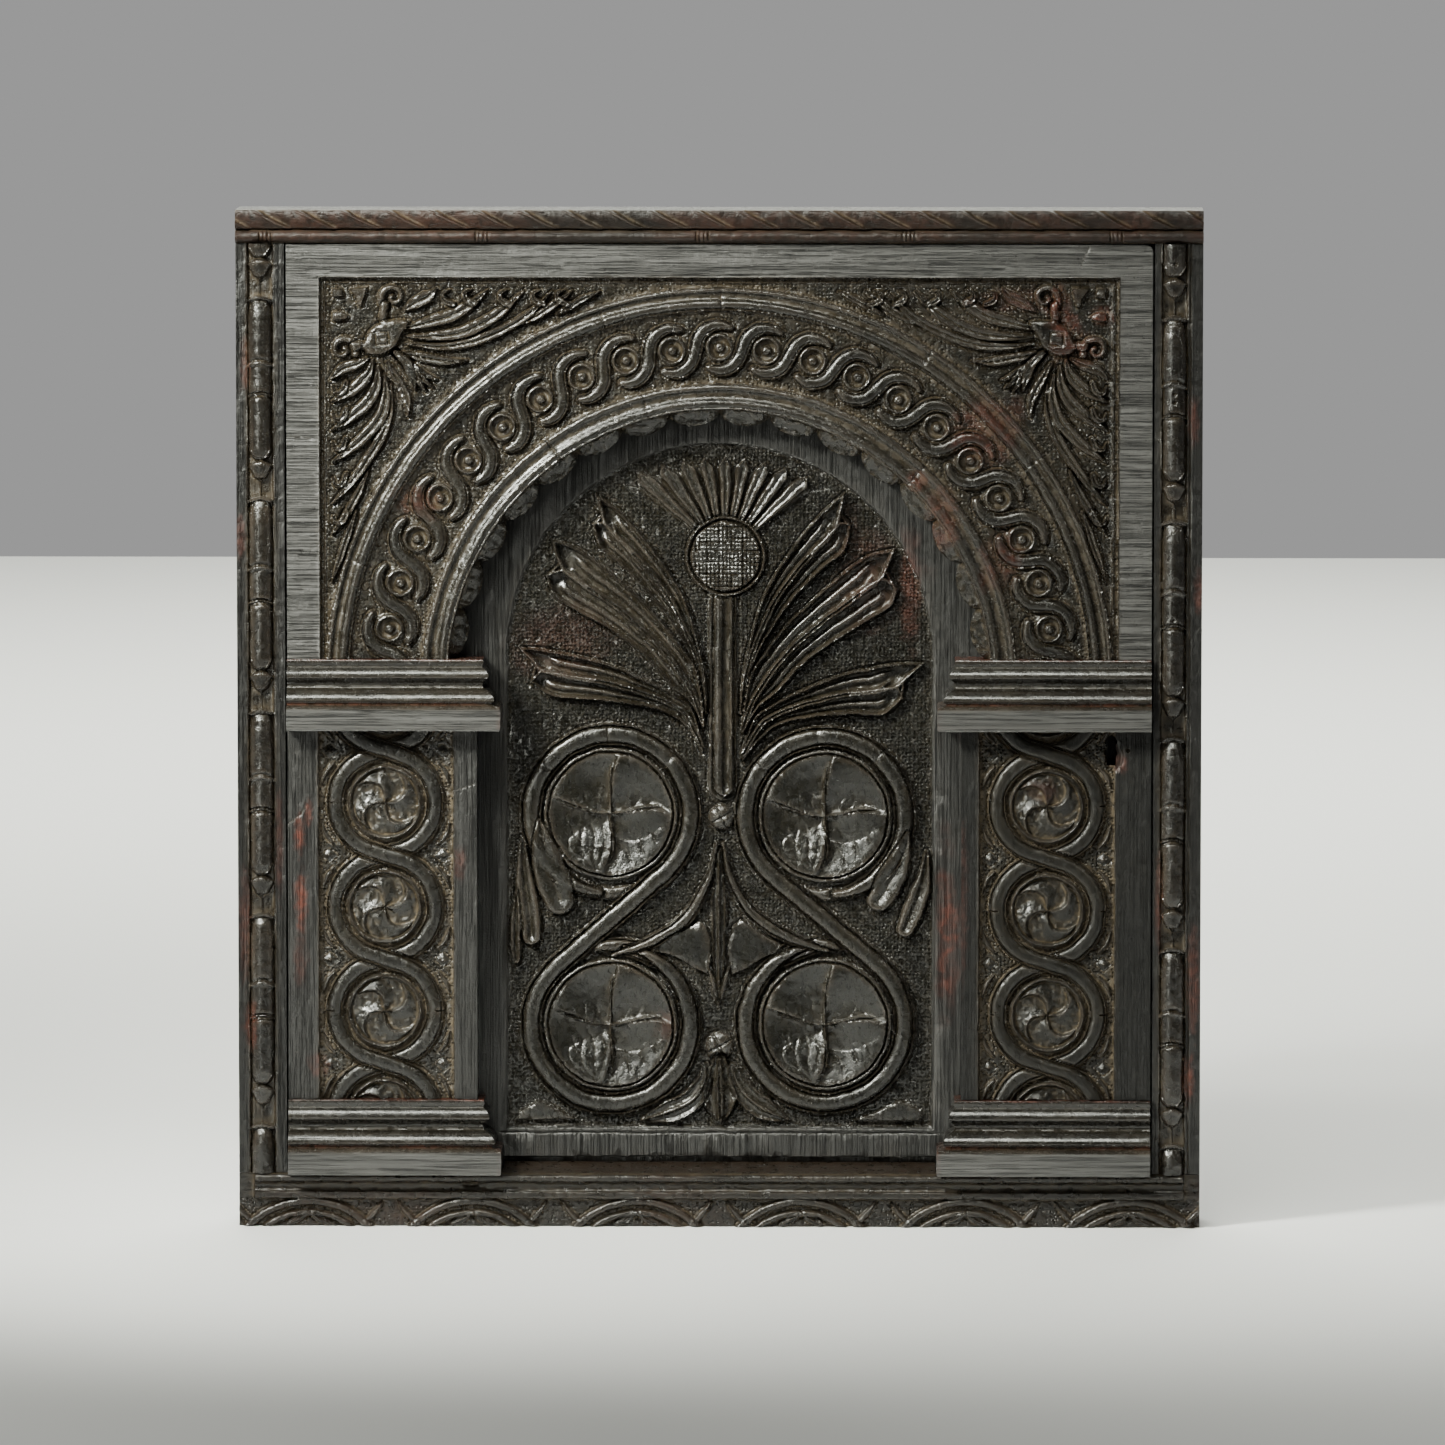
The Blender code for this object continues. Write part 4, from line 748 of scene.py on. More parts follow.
def carve_panel():
    xs = graded(-PANEL_EDGE, -182.0, 182.0, PANEL_EDGE, 12.0, FINE * 1.04)
    zs = graded(PANEL_LOW, -336.0, 236.0, PANEL_HIGH, 12.0, FINE * 1.04)
    f = Relief(xs, zs, PANEL_FRONT, 51, 0.45)
    X, Z = f.X, f.Z
    spring = IMPOST_TOP
    foot = deep((717, 1128))[0][1]
    dome = np.where(Z > spring, PANEL_ARCH - np.hypot(X, Z - spring), PANEL_ARCH - np.abs(X))
    field = np.minimum(dome, Z - foot)
    f.H -= (PANEL_FRONT - GROUND) * fade(field, 1.2)
    f.H -= 2.6 * tent(field + 0.2, 1.5)
    f.ground = np.where(field > 0.8, 1.0, 0.0)
    f.flat = fade(-field, 1.0)
    slot = deep((717, 1157.5))[0][1]
    f.H -= 6.0 * fade(slot - Z, 0.9)
    f.line([(-PANEL_ARCH - 6, foot - 4.6), (PANEL_ARCH + 6, foot - 4.6)], 1.3, 1.4)
    # Crown of pleats over the flower
    flower = deep((723, 553))[0]
    win, r, a = f.polar(*flower, 98.0)
    pleat_turn = 11.5
    fan_end = 4.62
    fan = (90.0 - a) / pleat_turn
    near = np.abs(fan - np.round(fan))
    room = PANEL_ARCH - 9.0 - np.hypot(X[win], Z[win] - spring)
    room = room - 10.5 * (2 * near) ** 1.1
    wing = fade((fan_end - np.abs(fan)) * np.radians(pleat_turn) * r, 1.0)
    arc_mm = np.radians(pleat_turn) * r
    pleat = 5.2 * (1 - fade((near - 0.30) * arc_mm, 1.6)) - 1.2 * clamp(1 - near * arc_mm / 1.1)
    pleat = pleat - 1.0 * clamp(1 - np.abs(near - 0.5) * arc_mm / 1.6)
    tip_rim = 0.9 * tent(room - 1.4, 1.4)
    h = GROUND + (pleat + tip_rim) * fade(room, 0.8) * wing
    crown = (room > 0) & (np.abs(fan) < fan_end) & (r > 28.0) & (r < 98.0)
    rim_cut = 1.6 * tent(room + 1.2, 1.5) * (np.abs(fan) < 4.9) * (r > 40)
    f.H[win] = np.where(crown, h, f.H[win] - rim_cut)
    f.clear(win, crown)
    # Stem
    stem = deep((720.5, 594), (720.5, 700), (720.5, 785))
    f.stroke(stem, 10.8, lambda a, run: np.interp(
        a, [-1, -0.9, -0.74, -0.66, -0.56, -0.3, -0.1, 0.0, 0.1, 0.4, 0.48, 0.58, 0.68, 0.76, 0.92,
            1],
        [0.2, 2.6, 2.4, 0.4, 4.2, 5.4, 4.8, 3.0, 1.6, 1.4, 3.4, 5.2, 3.6, 0.4, 2.4, 0.2]), GROUND,
        over=True, groove=1.4)
    # Leaves: the two edges from the root out, and the notch between the tips
    leaves = (
        (((705, 712), (703, 672), (695, 636), (680, 590), (650, 545), (618, 508), (594, 491)),
         ((701, 712), (692, 668), (678, 636), (650, 597), (620, 564), (598, 546), (590, 521)),
         (600, 510)),
        (((703, 722), (697, 676), (688, 655), (660, 619), (640, 596), (600, 562),
          (575, 545), (549, 537)),
         ((701, 728), (686, 698), (668, 684), (640, 652), (600, 623), (570, 606),
          (551, 592), (544, 573)),
         (557, 560)),
        (((702, 742), (690, 706), (676, 694), (640, 675), (600, 659), (548, 648), (516, 645)),
         ((700, 752), (688, 730), (668, 712), (640, 704), (600, 699), (550, 694), (528, 680)),
         (533, 662)),
        (((737, 712), (740, 672), (748, 636), (762, 590), (790, 545), (818, 510), (842, 490)),
         ((741, 712), (750, 668), (764, 636), (790, 598), (820, 566), (843, 547), (849, 522)),
         (837, 509)),
        (((738, 724), (745, 684), (754, 661), (782, 624), (804, 602), (842, 568),
          (866, 552), (892, 546)),
         ((740, 732), (757, 704), (775, 690), (804, 659), (844, 631), (874, 613),
          (889, 602), (896, 586)),
         (884, 566)),
        (((739, 748), (751, 716), (765, 704), (801, 686), (841, 671), (890, 661), (921, 660)),
         ((741, 760), (754, 742), (774, 724), (802, 716), (842, 712), (880, 712), (901, 696)),
         (903, 678)),
    )
    for upper, lower, notch in leaves:
        f.blade(smooth(deep(*upper), 6), smooth(deep(*lower), 6), deep(notch)[0], GROUND)
    # Discs and straps, by side
    upper = {-1: deep((608, 812))[0], 1: deep((823, 814))[0]}
    lower = {-1: deep((608, 1025))[0], 1: deep((823, 1024))[0]}
    ring = 58.5
    profile = rolled(7.2, 1.6)
    for side in (-1, 1):
        top, low = upper[side], lower[side]
        swing = crossing(low, top, ring)
        # The second strand closes each loop and dives under the long one
        if side < 0:
            closing = arc(*top, ring, 264, 320)
            under = arc(*low, ring, 90 - swing + 60, 60)
            path = arc(*top, ring, 262, -90 + swing) + arc(*low, ring, 90 + swing, 440)
        else:
            closing = arc(*top, ring, 276, 220)
            under = arc(*low, ring, 90 + swing - 60, 120)
            path = arc(*top, ring, -82, 270 - swing) + arc(*low, ring, 90 - swing, -260)
        f.stroke(closing, [5.0, 4.6, 3.4, 1.2], rounded(4.6), GROUND, over=True, groove=0.8)
        f.stroke(under, [2.0, 5.5, 7.5, 8.2], profile, GROUND, over=True, groove=1.2)
        f.stroke(path, [4.0, 7.4] + [8.2] * 17 + [8.0, 6.5, 2.0], profile, GROUND, over=True,
                 groove=1.5)
    for centre in (upper[-1], upper[1], lower[-1], lower[1]):
        carve_disc(f, *centre)
    # Slips that spring from under the upper button and run beside the diagonals
    for points in (((714, 842), (706, 878), (686, 914), (655, 938), (610, 955)),
                   ((721, 842), (729, 878), (750, 912), (782, 934), (826, 950))):
        f.stroke(smooth(deep(*points)), [1.6, 3.8, 5.4, 5.4, 1.8], rolled(6.4, 2.2, 0.56), GROUND,
                 over=True, groove=1.4)
    # Curved tiles either side of the spear
    for turn in (list, mirrored):
        outline = [(-49, -2.5), (-39, 4), (-27, 10), (-14.5, 18), (-10, 14), (-6.5, 6), (-5.0, -2),
                   (-6.0, -10), (-8.5, -19), (-18, -15), (-25, -10), (-35, -5.5)]
        cx, cz = deep((717.5, 946))[0]
        f.patch([(cx + 1.06 * x, cz + 1.1 * z) for x, z in turn(outline)], 3.6, GROUND, ramp=0.7,
                groove=1.6)
    spear = deep((716.5, 850), (716.5, 905), (716.5, 960), (716.5, 1008))
    f.stroke(smooth(spear), [2.0, 6.0, 5.0, 1.0], ridged(6.0), GROUND, over=True, groove=1.0)
    for away in (-1, 1):
        claw = deep((716.5 + away * 2, 1000), (716.5 + away * 7, 978), (716.5 + away * 13, 962))
        f.stroke(smooth(claw), [1.2, 2.6, 0.6], rounded(4.6), GROUND, groove=0.8)
    # Buttons with a crossed top
    for centre, size in (((719, 815), 13.0), ((717, 1046), 14.0)):
        size = size * UNIT
        win, r, a = f.polar(*deep(centre)[0], size + 2)
        knob = 8.2 * np.sqrt(clamp(1 - (r / (size + 1.2)) ** 2))
        knob = knob - 1.8 * clamp(1 - np.abs(((a + 15) % 90) - 45) * r / 70) * (r > 2)
        knob = knob - 3.5 * tent(r, 2.6)
        f.H[win] = np.where(r < size, GROUND + knob, f.H[win] - 1.0 * (r < size + 1.4))
        f.clear(win, r < size)
    # Foot leaf, ribbed wings and corner tiles
    f.stroke(smooth(deep((717.5, 1060), (717, 1082), (717.5, 1104), (719, 1125))),
             [5.0, 8.0, 11.6, 13.6, 9.4, 1.5], fluted(7.2), GROUND, over=True, groove=2.4)
    for points in (((704, 1068), (700, 1086), (682, 1106), (640, 1121)),
                   ((730, 1068), (738, 1088), (756, 1106), (786, 1121))):
        f.stroke(smooth(deep(*points)), [3.4, 8.0, 9.4, 2.0], ridged(6.0), GROUND, groove=1.8)
    for points in (((511, 1122), (518, 1112), (535, 1102), (548, 1106), (562, 1115), (580, 1122)),
                   ((846, 1122), (875, 1113), (897, 1101), (908, 1104), (923, 1114), (921, 1123))):
        f.patch(deep(*points), 3.2, GROUND, ramp=1.0)
    # Lobes that hang outside the straps
    for points, half in (
        (((537, 820), (543, 856), (551, 882), (557, 899)), [2, 7.6, 11.8, 13.4, 11.4]),
        (((520, 838), (522, 880), (526, 910), (529, 936)), [2, 5.2, 8.0, 8.6, 7.2]),
        (((513, 890), (513, 920), (513, 945), (513, 960)), [1, 2.8, 4.0, 4.2, 3.2]),
        (((906, 832), (897, 862), (885, 886), (877, 899)), [2, 6.4, 9.6, 10.6, 9.0]),
        (((925, 850), (921, 882), (911, 910), (904, 928)), [2, 4.8, 7.4, 8.0, 6.8]),
    ):
        f.stroke(smooth(deep(*points)), half,
                 shaped([0, 0.1, 0.25, 0.62, 0.82, 0.92, 1], [3.6, 4.2, 5.4, 6.6, 6.2, 5.0, 3.0]),
                 GROUND, groove=2.4)
    # Flower
    win, r, a = f.polar(*flower, 31.5)
    u = X[win] - flower[0]
    v = Z[win] - flower[1]
    hatch = np.minimum(np.abs((u / 2.9) % 1 - 0.5), np.abs((v / 2.9) % 1 - 0.5)) * 2
    wide = np.minimum(np.abs((u / 8.7) % 1 - 0.5), np.abs((v / 8.7) % 1 - 0.5)) * 3
    cushion = 4.6 + 2.4 * np.sqrt(clamp(1 - (r / 31.0) ** 2))
    cushion = cushion - 1.3 * tent(hatch, 0.34) - 0.8 * tent(wide, 0.3)
    rim = 4.6 * tent(r - 28.2, 1.7) ** 0.5
    h = GROUND + np.where(r < 25.6, cushion * fade(26.2 - r, 1.2), rim)
    f.H[win] = np.where(r < 29.8, h, f.H[win] - 1.2 * (r < 31.0) * (r > 29.8))
    f.clear(win, r < 30.5)
    # Ticks cut across the straps
    for u, v, cx, cz in ((605, 730, *upper[-1]), (545, 765, *upper[-1]), (665, 760, *upper[-1]),
                         (815, 735, *upper[1]), (760, 765, *upper[1]), (875, 755, *upper[1])):
        x, z = deep((u, v))[0]
        t = math.atan2(z - cz, x - cx)
        f.line([(cx + r * math.cos(t), cz + r * math.sin(t)) for r in (51, 66)], 0.8, 1.0)
    f.roughen(0.45, 2.2, 61, f.ground)
    f.roughen(0.3, 6.0, 62, f.ground)
    f.roughen(0.2, 4.5, 63)
    f.H = np.where(f.flat > 0.5, np.minimum(f.H, PANEL_FRONT - 0.1), f.H)
    f.blush(deep, (945, 930, 5, 70, 0.8), (908, 585, 8, 45, 0.35), (860, 570, 26, 40, 0.15),
            (560, 640, 40, 30, 0.12), (960, 700, 9, 20, 0.25), (664, 1025, 8, 12, 0.15))
    f.H = np.minimum(f.H, 25.6)
    return f


# Frame members


def carve_stile(side):
    low, high = sorted((side * STILE_INNER, side * HALF_WIDTH))
    bottom = BOTTOM_RAIL_Z + KERF
    top = TOP_RAIL_Z - KERF
    xs = lines(low, high, FINE * 0.8)
    zs = lines(bottom, top, FINE * 0.85)
    f = Relief(xs, zs, BOARD_FRONT, 71 + side, 0.25)
    middle = side * (STILE_INNER + (14.5 if side > 0 else 17.5))
    a = (f.X - middle) / 9.5
    b = np.abs(a)
    starts = (319, 522, 739, 951, 1148) if side > 0 else (300, 500, 713, 917, 1129)
    tops = [(719 - v) * UNIT for v in starts]
    tops = [tops[0] + 150.0] + tops + [tops[-1] - 150.0]
    s = np.full(f.Z.shape, -1.0)
    bow = f.Z - 3.2 * (1 - clamp(b) ** 2)
    for start, stop in zip(tops, tops[1:]):
        inside = (bow <= start) & (bow > stop)
        s = np.where(inside, (start - bow) / (start - stop), s)
    # Along one period: width and height of the turned bead
    share = [0, 0.012, 0.022, 0.05, 0.1, 0.3, 0.318, 0.326, 0.334, 0.345, 0.47, 0.478, 0.486,
             0.495, 0.51, 0.76, 0.80, 0.815, 0.83, 0.90, 0.915, 0.93, 1.0]
    width = [1.0, 1.0, 0.72, 0.80, 0.90, 0.92, 0.86, 1.0, 1.0, 0.88, 0.90, 0.8, 1.0,
             0.8, 0.86, 0.86, 0.62, 0.30, 0.95, 0.5, 0.2, 0.05, 0.05]
    tall = [6.2, 6.2, 4.0, 6.6, 8.0, 8.2, 6.0, 8.4, 8.4, 6.4, 7.6, 4.8, 6.4,
            4.6, 7.6, 7.8, 6.0, 2.4, 5.6, 4.0, 1.6, 0.6, 0.6]
    w = np.interp(s, share, width)
    t = np.interp(s, share, tall)
    body = t * np.sqrt(clamp(1 - (b / np.maximum(w, 0.05)) ** 2))
    zone = clamp((1.0 - b) * 9.5 / 1.2)
    trough = -3.0 * fade((1.0 - b) * 9.5, 1.2)
    f.H += trough + np.where(b < w, np.maximum(body, 0) + 2.2 * fade((w - b) * 9.5, 1.0), 0) * zone
    # A rim follows the rounded foot of the long jewel
    jewel = (s > 0.52) & (s < 0.81)
    rim = tent(b - 0.94 * np.sqrt(clamp((0.815 - s) / 0.09)), 0.07)
    f.H += np.where(jewel, 1.6 * rim, 0.0)
    f.roughen(0.25, 4.0, 81)
    f.flat = np.where(b > 1.05, 1.0, 0.0)
    edge = side * (STILE_INNER + 26)
    f.line([(edge, bottom), (edge, top)], 0.9, 1.2)
    if side > 0:
        for v in (263, 392, 400, 618):
            win, r, _ = f.polar(middle, face((1172, v))[0][1], 2.4)
            f.H[win] -= np.where(r < 1.8, 2.6 * (1 - r / 2.0), 0.0)

    def drawn(point):
        """The right stile's places, and the same higher up on the left one."""
        x, z = face(point)[0]
        return [(x, z)] if side > 0 else [(-x, z + 40)]

    share = 1.0 if side > 0 else 0.7
    f.blush(drawn, (1187, 1080, 5, 18, 0.9 * share), (1190, 420, 4, 20, 0.5 * share),
            (1196, 590, 4, 16, 0.5 * share), (1158, 900, 3, 40, 0.4 * share),
            (1192, 980, 5, 40, 0.5 * share))
    return f


def carve_top():
    xs = lines(-HALF_WIDTH, HALF_WIDTH, FINE * 1.1)
    zs = lines(TOP_RAIL_Z, TOP_Z, FINE * 0.62)
    f = Relief(xs, zs, BOARD_FRONT, 91, 0.25)
    X, Z = f.X, f.Z
    half = 6.9
    c = np.clip((Z - (TOP_Z - half)) / half, -1, 1)
    q = (X + 27.0 * c / 2 + 3.0) / 32.0 + 0.05 * noise(X, 0 * X, 40.0, 92)
    part = q - np.floor(q)
    twist = np.interp(part, [0, 0.06, 0.14, 0.5, 0.85, 0.93, 1.0],
                      [1.0, 0.25, 0.1, 0.62, 0.95, 1.25, 1.0])
    cable = 8.2 * np.sqrt(clamp(1 - 0.55 * c * c)) * (0.45 + 0.42 * twist)
    bz = (Z - (TOP_RAIL_Z + 5.0)) / 4.6
    bead = 6.0 * np.sqrt(clamp(1 - bz * bz))
    for u in (483, 702, 907, 1113, 268):
        x = (u - 718.5) * UNIT
        for off, dep in ((-4.4, 1.4), (-1.6, 1.0), (1.6, 1.0), (4.4, 1.4)):
            bead = bead - dep * tent(X - x - off, 0.9)
    f.H += np.where(Z > TOP_RAIL_Z + 10.2, cable, np.maximum(bead, -1.0))
    f.H -= 2.0 * tent(Z - TOP_RAIL_Z - 10.0, 0.9)
    f.roughen(0.3, 5.0, 93)
    f.red = clamp(0.45 + 0.45 * noise(f.gx, f.gz, 30.0, 94))
    f.H = np.minimum(f.H, 58.9)
    return f


def carve_bottom():
    xs = lines(-HALF_WIDTH, HALF_WIDTH, FINE * 1.1)
    zs = lines(FOOT_Z, BOTTOM_RAIL_Z, FINE * 0.7)
    f = Relief(xs, zs, BOARD_FRONT, 101, 0.3)
    X, Z = f.X, f.Z
    drop = BOTTOM_RAIL_Z - Z
    mould = np.interp(drop, [0, 0.6, 2.0, 4.0, 5.4, 6.4, 8.0, 10.5, 12.8, 13.2, 14.0, 17.0, 18.2,
                             18.8],
                      [4.0, 6.4, 7.8, 7.6, 6.2, 4.0, 2.6, 2.4, 3.4, 5.0, 5.2, 5.2, 4.4, 0.0])
    limit = STILE_INNER + 24.0
    f.H += np.where(drop < 18.8, mould, 0.0) * fade(limit - np.abs(X), 1.0)
    f.ground = np.where(drop > 19.4, 1.0, 0.0)
    for k in range(-4, 5):
        cx = (k + 0.465) * 120.0 + 4.0
        for size, height, half in ((64.0, 4.2, 3.2), (55.5, 3.6, 2.6)):
            centre = BOTTOM_RAIL_Z - 20.4 - 62.0
            ring = [p for p in arc(cx, centre, size - 2.0, 30, 150, 4.0) if p[1] > FOOT_Z - 4]
            f.stroke(ring, half, rounded(height), BOARD_FRONT, groove=0.8)
        for away in (-1, 1):
            leaf = [(cx + away * 14, FOOT_Z + 2), (cx + away * 6, FOOT_Z + 6), (cx, FOOT_Z + 10)]
            f.stroke(smooth(leaf), [2.4, 3.0, 1.0], ridged(3.0), BOARD_FRONT, groove=0.6)
            slip = [(cx + away * 54, BOTTOM_RAIL_Z - 21), (cx + away * 49, BOTTOM_RAIL_Z - 28),
                    (cx + away * 40, FOOT_Z + 1)]
            f.stroke(smooth(slip), [1.0, 2.4, 2.0], rounded(2.8), BOARD_FRONT, groove=0.6)
    f.roughen(0.35, 3.0, 102)
    f.ground *= (f.H < BOARD_FRONT + 0.5)
    cx, cz = face((470, 1185))[0]
    win, _, _ = f.polar(cx, cz, 9.0)
    f.H[win] -= 2.4 * fade(1 - np.hypot(f.X[win] - cx, (f.Z[win] - cz) * 2.4) / 8.0, 0.6)
    f.red = 0.25 * clamp(noise(f.gx, f.gz, 45.0, 103))
    f.H = np.minimum(f.H, 58.4)
    return f


# Meshes


def add_solid(verts, faces, corners):
    """A plain closed box between two corners, in millimetres (x, depth, z)."""
    (x0, d0, z0), (x1, d1, z1) = corners
    base = len(verts)
    for z in (z0, z1):
        verts += [(x0, -d1, z), (x1, -d1, z), (x1, -d0, z), (x0, -d0, z)]
    for quad in ((3, 2, 1, 0), (4, 5, 6, 7), (0, 1, 5, 4), (1, 2, 6, 5), (2, 3, 7, 6),
                 (3, 0, 4, 7)):
        faces.append(tuple(base + k for k in quad))


def linked(name, verts, faces):
    """An object in the scene from points in millimetres."""
    mesh = bpy.data.meshes.new(name)
    mesh.from_pydata([tuple(c * MM for c in v) for v in verts], [], faces)
    mesh.update()
    thing = bpy.data.objects.new(name, mesh)
    bpy.context.scene.collection.objects.link(thing)
    return thing


def soften(mesh, sharp):
    """Smooth shading, but for edges sharper than an angle in degrees."""
    mesh.polygons.foreach_set("use_smooth", [True] * len(mesh.polygons))
    mesh.set_sharp_from_angle(angle=math.radians(sharp))


def mask(mesh, *masks):
    """Write the five masks that the finish reads, by vertex."""
    for title, values in zip(("dust", "wear", "punch", "red", "flat"), masks):
        layer = mesh.attributes.new(title, "FLOAT", "POINT")
        values = np.broadcast_to(values, len(mesh.vertices))
        layer.data.foreach_set("value", values.astype(np.float32))


def coordinates(mesh):
    points = np.empty(3 * len(mesh.vertices))
    mesh.vertices.foreach_get("co", points)
    return points.reshape(-1, 3)


def face_mesh(name, f, back, budget, behind=()):
    """Front from the relief, walls down to the back, and the plain wood behind."""
    nz, nx = f.H.shape
    padded = np.zeros((nz + 1, nx + 1), bool)
    padded[1:-1, 1:-1] = f.keep
    used = padded[:-1, :-1] | padded[:-1, 1:] | padded[1:, :-1] | padded[1:, 1:]
    index = np.full((nz, nx), -1)
    index[used] = np.arange(used.sum())
    jj, ii = np.nonzero(f.keep)
    quads = np.stack([index[jj, ii], index[jj, ii + 1], index[jj + 1, ii + 1],
                      index[jj + 1, ii]], axis=1)
    edges = []
    for beside, a, b in ((padded[:-2, 1:-1], (0, 0), (0, 1)), (padded[1:-1, 2:], (0, 1), (1, 1)),
                         (padded[2:, 1:-1], (1, 1), (1, 0)), (padded[1:-1, :-2], (1, 0), (0, 0))):
        j, i = np.nonzero(f.keep & ~beside)
        edges.append(np.stack([index[j + a[0], i + a[1]], index[j + b[0], i + b[1]]], axis=1))
    edges = np.concatenate(edges)
    gx = f.gx[used].copy()
    gz = f.gz[used].copy()
    depth = f.H[used]
    rim = np.unique(edges)
    if f.snap:
        gx[rim], gz[rim] = f.snap(gx[rim], gz[rim])
    count = len(gx)
    lookup = np.full(count, -1)
    lookup[rim] = count + np.arange(len(rim))
    front = np.stack([gx, -depth, gz], axis=1)
    rear = np.stack([gx[rim], np.full(len(rim), -float(back)), gz[rim]], axis=1)
    verts = [tuple(v) for v in np.concatenate([front, rear])]
    faces = [tuple(q) for q in quads]
    for a, b in edges:
        faces.append((b, a, lookup[a], lookup[b]))
    # The back follows the outline, holes included
    after = {int(a): int(b) for a, b in edges}
    loops = []
    while after:
        start = next(iter(after))
        loop = [start]
        step = after.pop(start)
        while step != start:
            loop.append(step)
            step = after.pop(step)
        loops.append(loop)
    flat = [v for loop in loops for v in loop]
    shapes = [[Vector((gx[v], gz[v], 0.0)) for v in loop] for loop in loops]
    for tri in tessellate_polygon(shapes):
        a, b, c = (flat[k] for k in tri)
        area = (gx[b] - gx[a]) * (gz[c] - gz[a]) - (gx[c] - gx[a]) * (gz[b] - gz[a])
        order = (a, c, b) if area > 0 else (a, b, c)
        faces.append(tuple(int(lookup[k]) for k in order))
    for corners in behind:
        add_solid(verts, faces, corners)
    thing = linked(name, verts, faces)
    triangles = sum(len(p.vertices) - 2 for p in thing.data.polygons)
    if triangles > budget:
        thin = thing.modifiers.new("thin", "DECIMATE")
        thin.ratio = budget / triangles
        graph = bpy.context.evaluated_depsgraph_get()
        reduced = bpy.data.meshes.new_from_object(thing.evaluated_get(graph))
        thing.modifiers.clear()
        thing.data = reduced
    mesh = thing.data
    # Thinning may move a point just out of the solids' box
    points = np.clip(coordinates(mesh), np.array(cad_low) + 1e-6, np.array(cad_high) - 1e-6)
    mesh.vertices.foreach_set("co", points.ravel())
    soften(mesh, FACE_SHARP)
    paint(mesh, f)
    return thing


def paint(mesh, f):
    """Dust in the hollows, wear on the ridges, and the other masks, by vertex."""
    cell = max(np.median(np.diff(f.x)), 0.3)
    # Against the mean height over some 2 mm and some 5 mm
    near = blur(f.H, 1.6 / cell)
    wide = blur(f.H, 5.0 / cell)
    dust = clamp((near - f.H - 0.05) / 0.9) * 0.8 + clamp((wide - f.H - 0.2) / 2.2) * 0.6
    wear = clamp((f.H - near - 0.05) / 0.7)
    x, y, z = (coordinates(mesh) / MM).T

    def nearest(grid, at):
        k = np.clip(np.searchsorted(grid, at), 1, len(grid) - 1)
        return k - ((at - grid[k - 1]) < (grid[k] - at))

    i, j = nearest(f.x, x), nearest(f.z, z)
    # Points of the walls and the back carry no mask
    front = np.abs(-y - f.H[j, i]) < 2.5
    mask(mesh, *(np.where(front, values[j, i], 0.0)
                 for values in (clamp(dust), wear, f.ground, f.red, f.flat)))


